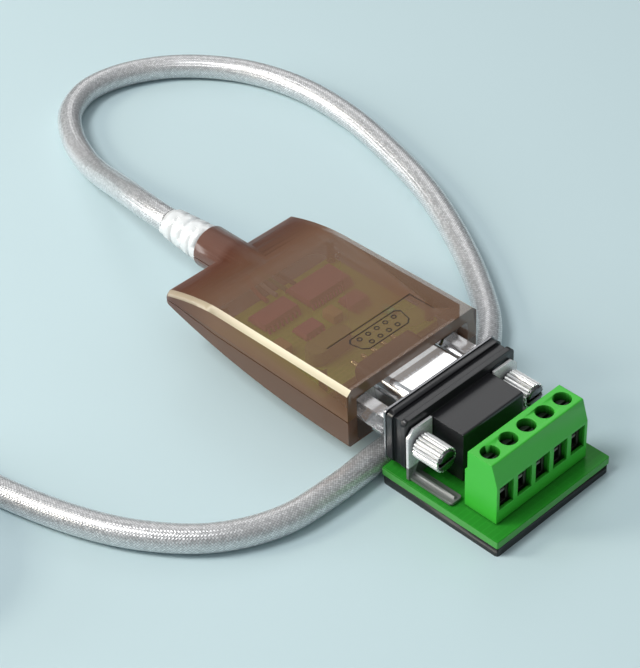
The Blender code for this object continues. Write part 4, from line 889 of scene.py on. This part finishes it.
def ring(centre: Vector, radius: float, sides: int, right: Vector, up: Vector) -> list[Vector]:
    """Points of a circle round a centre, in the plane of two unit vectors."""
    turns = [2 * math.pi * side / sides for side in range(sides)]
    return [centre + (right * math.cos(t) + up * math.sin(t)) * radius for t in turns]


def smooth_points(route: Sequence[Vector], step: float) -> list[Vector]:
    """Evenly spaced points along the smooth curve through a route, with both ends kept.

    Args:
        route: the points that the curve passes through.
        step: about how far apart the new points are.

    Returns:
        The new points.
    """
    parts = 20
    hair = 1e-9
    ends = [route[0] * 2 - route[1], *route, route[-1] * 2 - route[-2]]
    fine = [route[0]]
    for before, start, end, after in zip(ends, ends[1:], ends[2:], ends[3:]):
        for part in range(1, parts + 1):
            t = part / parts
            pull = (2 * before - 5 * start + 4 * end - after) * t * t
            turn = (3 * start - before - 3 * end + after) * t**3
            fine.append((2 * start + (end - before) * t + pull + turn) / 2)
    length = sum((b - a).length for a, b in zip(fine, fine[1:]))
    spacing = length / max(2, round(length / step))
    points, walked, due = [fine[0]], 0.0, spacing
    for a, b in zip(fine, fine[1:]):
        run = (b - a).length
        while run and walked + run >= due - hair and due < length - spacing / 2:
            points.append(a.lerp(b, (due - walked) / run))
            due += spacing
        walked += run
    return [*points, fine[-1]]


def tube_mesh(name: str, path: Sequence[Vector], radius: float, sides: int) -> bpy.types.Object:
    """A round tube along a path with closed ends and a UV map: x once round, y in metres along it.

    Args:
        name: the object's name.
        path: the points along its middle.
        radius: the tube's radius.
        sides: how many flat sides it has.

    Returns:
        The tube's object.
    """
    bm = bmesh.new()
    layer = bm.loops.layers.uv.new("UVMap")
    rings, travelled, marks = [], 0.0, []
    right = Vector((0, 0, 1)).cross(path[1] - path[0]).normalized()
    for index, point in enumerate(path):
        ahead = path[min(index + 1, len(path) - 1)] - path[max(index - 1, 0)]
        ahead.normalize()
        right = (right - ahead * right.dot(ahead)).normalized()
        rings.append([bm.verts.new(p) for p in ring(point, radius, sides, right, ahead.cross(right))])
        travelled += (point - path[index - 1]).length if index else 0.0
        marks.append(travelled)
    for index in range(len(path) - 1):
        for side in range(sides):
            after = (side + 1) % sides
            near, far = rings[index], rings[index + 1]
            face = bm.faces.new((near[side], near[after], far[after], far[side]))
            spots = ((side, index), (side + 1, index), (side + 1, index + 1), (side, index + 1))
            for loop, (across, on) in zip(face.loops, spots):
                loop[layer].uv = (across / sides, marks[on])
    bm.faces.new(rings[0])
    bm.faces.new(rings[-1])
    bmesh.ops.recalc_face_normals(bm, faces=bm.faces)
    return to_object(name, bm, sharp=60.0)


@dataclass
class PinMap:
    """The connector's outline and its nine ways, printed small inside the fine line on the hood.

    Its centre is given in millimetres from the mating face.
    """

    pitch: float = 2.4 * MM
    row_pitch: float = 2.2 * MM
    ring_radius: float = 0.6 * MM
    ring_line: float = 0.24 * MM
    ring_sides: int = 20
    outline_width: float = 14.4 * MM
    outline_height: float = 4.9 * MM
    outline_line: float = 0.24 * MM
    corner: float = 0.9 * MM
    corner_lean: float = 0.2
    slant: float = 10.0
    ink: float = 0.08 * MM
    sunk: float = 0.04 * MM
    overhead: float = 100.0 * MM
    centre: tuple[float, float] = (-0.3, 16.1)
    line_back: float = 19.9 * MM
    line_width: float = 0.27 * MM
    line_ends: tuple[float, float] = (-11.3 * MM, 11.9 * MM)
    line_return: float = 6.7 * MM

    def seat(self, spot: Vector) -> Vector:
        """A point on the hood's upper surface, sunk a little so that the ink is seated.

        Args:
            spot: the place, at any height.

        Returns:
            The point.
        """
        above = Vector((spot.x, spot.y, self.overhead))
        point = surface_of("hood_upper").ray_cast(above, Vector((0, 0, -1)))[0]
        return point - Vector((0, 0, self.sunk))

    def middle(self) -> Vector:
        """The map's middle, on the hood."""
        return self.seat(from_mate(*self.centre, 0.0))

    def fine_line(self) -> None:
        """The dark bed of the fine line that is cut behind and beside the map."""
        left, right = self.line_ends
        half, back = self.line_width / 2, self.line_back
        points = [(left, back - half), (right - half, back - half), (right - half, back - self.line_return),
                  (right + half, back - self.line_return), (right + half, back + half), (left, back + half)]
        bed = self.seat(Vector((0.0, back, 0.0)) + MATING_FACE)
        bm = bmesh.new()
        add_prism(bm, [Vector((x, y + MATING_FACE.y, bed.z)) for x, y in points], Vector((0, 0, self.ink)))
        settle(to_object("pin_map_line", bm), PRINT_INK, "hood_upper")

    def shell(self, trim: float) -> list[Vector]:
        """The connector's outline, wide at the back.

        Args:
            trim: how far inside the outermost line it runs.

        Returns:
            The points round it.
        """
        half_width, half_height = self.outline_width / 2 - trim, self.outline_height / 2 - trim
        lean = 2 * half_height * math.tan(math.radians(self.slant))
        cut, out = self.corner, self.corner_lean * self.corner
        points = [(-half_width + lean + cut, -half_height), (half_width - lean - cut, -half_height),
                  (half_width - lean + out, -half_height + cut), (half_width, half_height - cut),
                  (half_width - cut, half_height), (-half_width + cut, half_height),
                  (-half_width, half_height - cut), (-half_width + lean - out, -half_height + cut)]
        return [self.seat(self.middle() + Vector((x, y, 0.0))) for x, y in points]

    def way(self) -> bpy.types.Object:
        """One printed ring, round its own middle.

        Returns:
            The ring's object.
        """
        bm = bmesh.new()
        right, ahead = Vector((1, 0, 0)), Vector((0, 1, 0))
        outer = ring(Vector(), self.ring_radius, self.ring_sides, right, ahead)
        inner = ring(Vector(), self.ring_radius - self.ring_line, self.ring_sides, right, ahead)
        add_band(bm, outer, inner, Vector((0, 0, self.ink)))
        return to_object("way", bm)

    def build(self) -> None:
        """Builds the line, the outline and the two rows of rings."""
        self.fine_line()
        bm = bmesh.new()
        add_band(bm, self.shell(0.0), self.shell(self.outline_line), Vector((0, 0, self.ink)))
        settle(to_object("pin_map_outline", bm), PRINT_INK, "hood_upper")
        for name, count, side in (("pin_map_long_row", 5, 1), ("pin_map_short_row", 4, -1)):
            first = Vector((-(count - 1) / 2 * self.pitch, side * self.row_pitch / 2, 0.0))
            start = self.seat(self.middle() + first)
            row = Repeat(name, self.way(), PRINT_INK, count, start, Vector((self.pitch, 0, 0))).build()
            settle(row, PRINT_INK, "hood_upper")


@dataclass
class Converter:
    """The clear brown hood, what shows through it, and the plug at its mouth.

    The first rib's place and a rib's thickness are shares of the pitch of the relief's grooves, and each rib
    is smaller than the one before it by the taper.
    """

    chips: tuple[str, ...] = ("bridge_chip", "line_driver_chip", "regulator_chip", "memory_chip")
    ways: int = 9
    capacitors: int = 2
    ribs: int = 4
    groove_pitch: float = 3.05 * MM
    grooved_length: float = 12.2 * MM
    relief_radius: float = 4.3 * MM
    rib_width: float = 1.9 * MM
    rib_root: float = 3.0 * MM
    rib_round: float = 0.28 * MM
    rib_place: float = 0.62
    rib_thickness: float = 0.36
    rib_taper: float = 0.055
    crystal_edge: float = 0.3 * MM

    def relief(self) -> None:
        """The ringed relief, with the ribs that bridge its grooves, turn about."""
        low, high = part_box("strain_relief")
        Skin("strain_relief", CLEAR_VINYL, "clear_pvc").build()
        first = high.y - self.grooved_length + self.rib_place * self.groove_pitch
        start = Vector(((low.x + high.x) / 2, first, (low.z + high.z) / 2))
        half, shoulder = self.rib_width / 2, self.relief_radius - self.rib_round
        bm = bmesh.new()
        for side in (-1, 1):
            outline = [Vector((x, 0.0, z)) for x, z in (
                (-half, side * self.rib_root), (half, side * self.rib_root), (half, side * shoulder),
                (0.0, side * self.relief_radius), (-half, side * shoulder))]
            add_prism(bm, outline, Vector((0, self.rib_thickness * self.groove_pitch, 0)))
        unit = to_object("relief_rib", bm)
        ribs = Repeat("relief_ribs", unit, CLEAR_VINYL, self.ribs, start,
                      Vector((0, self.groove_pitch, 0)), turn=math.pi / 2, shrink=self.rib_taper).build()
        settle(ribs, CLEAR_VINYL, "strain_relief")

    def build(self) -> None:
        """Builds the hood, the board inside it and the plug."""
        Skin("hood_upper", HOOD_BROWN, "hood_plastic").build()
        Skin("hood_lower", SHADED_HOOD_BASE, "hood_plastic").build()
        PinMap().build()
        Skin("converter_board", INNER_BOARD, "inner_board").build()
        for chip in self.chips:
            Skin(chip, CHIP_EPOXY, "chip_epoxy").build()
        Skin("crystal", CRYSTAL_CAN, "crystal_can", edge=self.crystal_edge).build()
        for number in range(1, self.capacitors + 1):
            Skin(f"capacitor_{number}", TANTALUM, "tantalum").build()
        Skin("lamp", LAMP_LENS, "lamp_lens").build()
        for core, finish in CORES.items():
            Skin(f"wire_{core}", finish, f"core_{core}").build()
        Skin("plug_shell", STEEL, "tinned_steel").build()
        Skin("plug_insert", BLACK_NYLON, "insert_plastic").build()
        for way in range(1, self.ways + 1):
            Skin(f"plug_pin_{way}", GILT, "gilt_pin").build()
        for side in Side:
            Skin(f"jack_post_{side.value}", NICKEL, "plated_steel").build()
        self.relief()


@dataclass
class Adapter:
    """The socket with its brackets and screws, on the board with its pad.

    A ridge starts a share of its height inside the screw's head, has its shoulders a share of it outside,
    and is as wide at its crown as a share of its foot.
    """

    ridges: int = 20
    ridge_height: float = 0.26 * MM
    ridge_width: float = 0.58 * MM
    ridge_margin: float = 0.5 * MM
    ridge_inside: float = 1.2
    ridge_shoulder: float = 0.2
    ridge_crown: float = 0.4
    head_length: float = 7.2 * MM

    def knurl(self, side: Side) -> None:
        """The straight ridges round one thumb screw's head.

        Args:
            side: which of the two screws.
        """
        node = f"thumb_screw_{side.value}"
        low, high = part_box(node)
        radius = (high.x - low.x) / 2
        length = self.head_length - 2 * self.ridge_margin
        foot, tip = self.ridge_width / 2, self.ridge_crown * self.ridge_width / 2
        root = radius - self.ridge_inside * self.ridge_height
        shoulder = radius + self.ridge_shoulder * self.ridge_height
        crown = radius + self.ridge_height
        outline = [Vector((x, 0.0, z)) for x, z in (
            (-foot, root), (foot, root), (foot, shoulder), (tip, crown), (-tip, crown), (-foot, shoulder))]
        bm = bmesh.new()
        add_prism(bm, outline, Vector((0, length, 0)))
        start = Vector(((low.x + high.x) / 2, low.y + self.ridge_margin, (low.z + high.z) / 2))
        ridges = Repeat(f"{node}_ridges", to_object("ridge", bm), KNURLED_STEEL, self.ridges, start,
                        turn=2 * math.pi / self.ridges).build()
        settle(ridges, KNURLED_STEEL, node)

    def build(self) -> None:
        """Builds the socket side and the board."""
        Skin("socket_shell", SHADED_SOCKET_STEEL, "tinned_steel").build()
        Skin("socket_body", BLACK_NYLON, "socket_plastic").build()
        for side in Side:
            Skin(f"bracket_{side.value}", BRACKET_STEEL, "plated_steel").build()
            Skin(f"thumb_screw_{side.value}", SHADED_SCREW_CORE, "plated_steel").build()
            self.knurl(side)
        Skin("adapter_board", ADAPTER_MASK, "adapter_green").build()
        Skin("base_pad", PAD_BLACK, "pad_rubber").build()


@dataclass
class Terminal:
    """The green block with its screws, cages and blades."""

    poles: int = 5

    def build(self) -> None:
        """Builds the housing and each pole's clamp."""
        Skin("terminal_housing", TERMINAL_GREEN, "terminal_green").build()
        for pole in range(1, self.poles + 1):
            Skin(f"clamp_screw_{pole}", SHADED_CLAMP_STEEL, "clamp_steel").build()
            Skin(f"clamp_cage_{pole}", SHADED_CAGE_METAL, "clamp_brass").build()
            Skin(f"terminal_pin_{pole}", SHADED_BLADE_TIN, "tinned_brass").build()


@dataclass
class Lead:
    """The braided lead: loose on the floor, then coiled beyond the view, down to its plug.

    Its points are a step apart. Angles are degrees round the coil's centre, and the route is in millimetres
    from the mating face. A bend before the plug is a share of the way back and a share of the way down.
    """

    diameter: float = 5.8 * MM
    sides: int = 28
    length: float = 1.12
    step: float = 1.6 * MM
    coil_centre: Vector = field(default_factory=lambda: from_mate(-115.5, 69.5, 0.0))
    coil_radius: float = 32.0 * MM
    coil_step: float = 10.0
    join_angle: float = 10.5
    joined: float = 50.0
    inwards: tuple[float, float] = (370.0, 410.0)
    upwards: tuple[float, float] = (680.0, 720.0)
    outwards: tuple[float, float] = (990.0, 1030.0)
    leave_angle: float = 180.0 + 3 * 360.0
    coil_base: float = 1.1 * MM
    plug_bends: tuple[tuple[float, float], ...] = ((0.0, 0.0), (0.35, 0.3), (0.75, 0.88))
    route: tuple[tuple[float, float, float], ...] = (
        (0.0, 79.6, 2.3), (0.0, 81.1, 2.3), (0.4, 86.0, 2.0), (2.4, 95.0, 0.2), (5.6, 105.0, -3.2),
        (8.8, 115.0, -6.6), (11.8, 124.0, -8.6), (16.0, 134.0, -9.1), (22.6, 143.0, -9.1),
        (32.4, 147.6, -9.1), (44.0, 145.6, -9.1), (55.0, 138.0, -9.1), (63.6, 125.0, -9.1),
        (67.4, 109.0, -9.1), (66.6, 92.0, -9.1), (63.0, 76.0, -9.1), (57.6, 59.0, -9.1), (50.0, 43.0, -9.1),
        (40.6, 27.6, -9.1), (30.0, 14.6, -9.1), (17.0, 6.8, -9.1), (3.0, 4.5, -9.1), (-12.0, 4.3, -9.1),
        (-26.0, 3.8, -9.1), (-39.0, 5.0, -9.1), (-50.6, 11.0, -9.1), (-59.6, 21.4, -9.1),
        (-65.8, 34.0, -9.1), (-70.4, 49.6, -9.1), (-73.0, 64.0, -9.1),
    )

    def coil_points(self) -> list[Vector]:
        """The coil's own route: in from the loose stretch, two turns below, two above, out to the plug.

        Returns:
            The points along its middle.
        """
        near, far = self.coil_radius + self.diameter / 2, self.coil_radius - self.diameter / 2
        low = self.coil_base + self.diameter / 2
        high = low + self.diameter
        join = near + self.diameter + GAP
        # Angle, distance from the coil's centre and height at each bend of the winding
        marks = [
            (self.join_angle, join, self.diameter / 2), (self.joined, near, low),
            (self.inwards[0], near, low), (self.inwards[1], far, low),
            (self.upwards[0], far, low), (self.upwards[1], far, high),
            (self.outwards[0], far, high), (self.outwards[1], near, high),
            (self.leave_angle, near, high),
        ]
        points = []
        for (start, out, rise), (end, out_after, rise_after) in zip(marks, marks[1:]):
            steps = max(1, round((end - start) / self.coil_step))
            for step in range(steps):
                share = step / steps
                eased = share * share * (3 - 2 * share)
                turn = math.radians(start + (end - start) * share)
                radius = out + (out_after - out) * eased
                height = rise + (rise_after - rise) * eased
                points.append(Vector((self.coil_centre.x + radius * math.cos(turn),
                                      self.coil_centre.y + radius * math.sin(turn), height)))
        return points

    def plug_points(self) -> list[Vector]:
        """From the last turn down into the plug's neck.

        Returns:
            The points along its middle.
        """
        low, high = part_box("usb_plug_body")
        x, z = (low.x + high.x) / 2, (low.z + high.z) / 2
        top = self.coil_base + 1.5 * self.diameter
        start = self.coil_centre.y
        bends = [Vector((x, start - back * (start - high.y), top - down * (top - z)))
                 for back, down in self.plug_bends]
        return [*bends, Vector((x, high.y + GAP, z))]

    def path(self) -> list[Vector]:
        """The whole centreline, in even steps."""
        loose = [from_mate(*point) for point in self.route]
        return smooth_points([*loose, *self.coil_points(), *self.plug_points()], self.step)

    def build(self) -> None:
        """Builds the lead, its tie and its far plug."""
        path = self.path()
        measured = sum((b - a).length for a, b in zip(path, path[1:]))
        LOG.info("lead: %.3f m along its middle", measured)
        lead = tube_mesh("braided_lead", path, self.diameter / 2, self.sides)
        settle(lead, BRAIDED_LEAD, "cord_tube", ["cord_tube", "cord_coil"])
        tie = Skin("coil_tie", TIE_BLACK, "tie_strap").build()
        plug = Skin("usb_plug_body", PLUG_GREY, "plug_moulding").build()
        shell = Skin("usb_shell", STEEL, "usb_steel").build()
        tongue = Skin("usb_tongue", TONGUE, "tongue_white").build()


def turned(azimuth: float, elevation: float) -> Matrix:
    """The turn of a lamp or a camera that looks at the object from a direction given in degrees."""
    return Euler((math.radians(90 - elevation), 0, math.radians(azimuth))).to_matrix()


@dataclass(frozen=True)
class Softbox:
    """A square lamp that faces the object."""

    name: str
    azimuth: float
    elevation: float
    distance: float
    size: float
    power: float
    tint: Colour = (1.0, 1.0, 1.0)

    def build(self) -> None:
        """Hangs the lamp."""
        data = bpy.data.lights.new(self.name, "AREA")
        data.shape = "SQUARE"
        data.size = self.size
        data.energy = self.power
        data.color = self.tint
        obj = bpy.data.objects.new(self.name, data)
        turn = turned(self.azimuth, self.elevation)
        obj.matrix_world = Matrix.Translation(turn.col[2] * self.distance) @ turn.to_4x4()
        bpy.context.scene.collection.objects.link(obj)


@dataclass
class Studio:
    """The floor, the lamps, the surroundings and the camera at the photograph's angle."""

    frame_px: tuple[int, int] = (640, 668)
    focal_px: float = 2099.2
    sensor_mm: float = 36.0
    aim: Vector = field(default_factory=lambda: Vector((-4.58, 3.91, 14.36)) * MM)
    distance: float = 420.0 * MM
    azimuth: float = -42.80
    elevation: float = 39.54
    roll: float = -2.67
    clip: tuple[float, float] = (10 * MM, 20.0)
    floor_size: float = 3.0
    floor_colour: Colour = (0.60, 0.75, 0.79)
    floor_roughness: float = 0.6
    floor_specular: float = 0.1
    wall_low: Colour = (0.05, 0.055, 0.06)
    wall_high: Colour = (0.90, 0.95, 0.98)
    wall_rise: tuple[float, float] = (0.02, 0.5)
    room_strength: float = 0.37
    lamps: tuple[Softbox, ...] = (
        Softbox("key", azimuth=-112.0, elevation=58.0, distance=1.2, size=0.4, power=6.6),
        Softbox("left_strip", azimuth=-131.0, elevation=32.0, distance=0.9, size=0.2, power=2.4,
                tint=(1.0, 0.94, 0.8)),
        Softbox("back_panel", azimuth=137.0, elevation=40.0, distance=1.5, size=0.6, power=1.7),
        Softbox("back_left_low", azimuth=-138.0, elevation=12.0, distance=1.2, size=0.45, power=4.6),
        Softbox("front_fill", azimuth=-20.0, elevation=70.0, distance=1.3, size=0.8, power=0.3),
    )

    def camera(self) -> None:
        """The camera, from its aim, distance and three angles."""
        turn = turned(self.azimuth, self.elevation) @ Matrix.Rotation(math.radians(self.roll), 3, "Z")
        data = bpy.data.cameras.new("camera")
        data.sensor_width = self.sensor_mm
        data.lens = self.sensor_mm * self.focal_px / max(self.frame_px)
        data.clip_start, data.clip_end = self.clip
        obj = bpy.data.objects.new("camera", data)
        obj.matrix_world = Matrix.Translation(self.aim + turn.col[2] * self.distance) @ turn.to_4x4()
        bpy.context.scene.collection.objects.link(obj)
        bpy.context.scene.camera = obj

    def floor(self) -> None:
        """A plain pale floor, far larger than the view."""
        bm = bmesh.new()
        bmesh.ops.create_grid(bm, x_segments=1, y_segments=1, size=self.floor_size)
        obj = to_object("floor", bm)
        material = bpy.data.materials.new("floor_pale")
        material.use_nodes = True
        shader = material.node_tree.nodes["Principled BSDF"]
        shader.inputs["Base Color"].default_value = (*self.floor_colour, 1.0)
        shader.inputs["Roughness"].default_value = self.floor_roughness
        shader.inputs["Specular IOR Level"].default_value = self.floor_specular
        obj.data.materials.append(material)
        bpy.context.scene.collection.objects.link(obj)

    def surroundings(self) -> None:
        """A pale room whose walls are darker towards the floor, so that metal shows bands."""
        world = bpy.data.worlds.new("pale_room")
        world.use_nodes = True
        w = Wiring(world.node_tree)
        way = w.put("ShaderNodeSeparateXYZ", {"Vector": w.node("ShaderNodeTexCoord").outputs["Generated"]})
        height = w.ramp(way.outputs["Z"], *self.wall_rise)
        background = world.node_tree.nodes["Background"]
        w.feed(background.inputs["Color"], w.blend(height, self.wall_low, self.wall_high))
        background.inputs["Strength"].default_value = self.room_strength
        bpy.context.scene.world = world

    def build(self) -> None:
        """Sets up the whole studio."""
        self.camera()
        self.floor()
        self.surroundings()
        for lamp in self.lamps:
            lamp.build()
        bpy.context.scene.view_settings.view_transform = "Standard"


def main() -> None:
    """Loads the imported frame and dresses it."""
    logging.basicConfig(level=logging.INFO, format="%(message)s")
    for obj in list(bpy.data.objects):
        bpy.data.objects.remove(obj)
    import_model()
    Studio().build()
    Lead().build()
    Converter().build()
    Adapter().build()
    Terminal().build()
    bpy.context.view_layer.update()


if __name__ == "__main__":
    main()
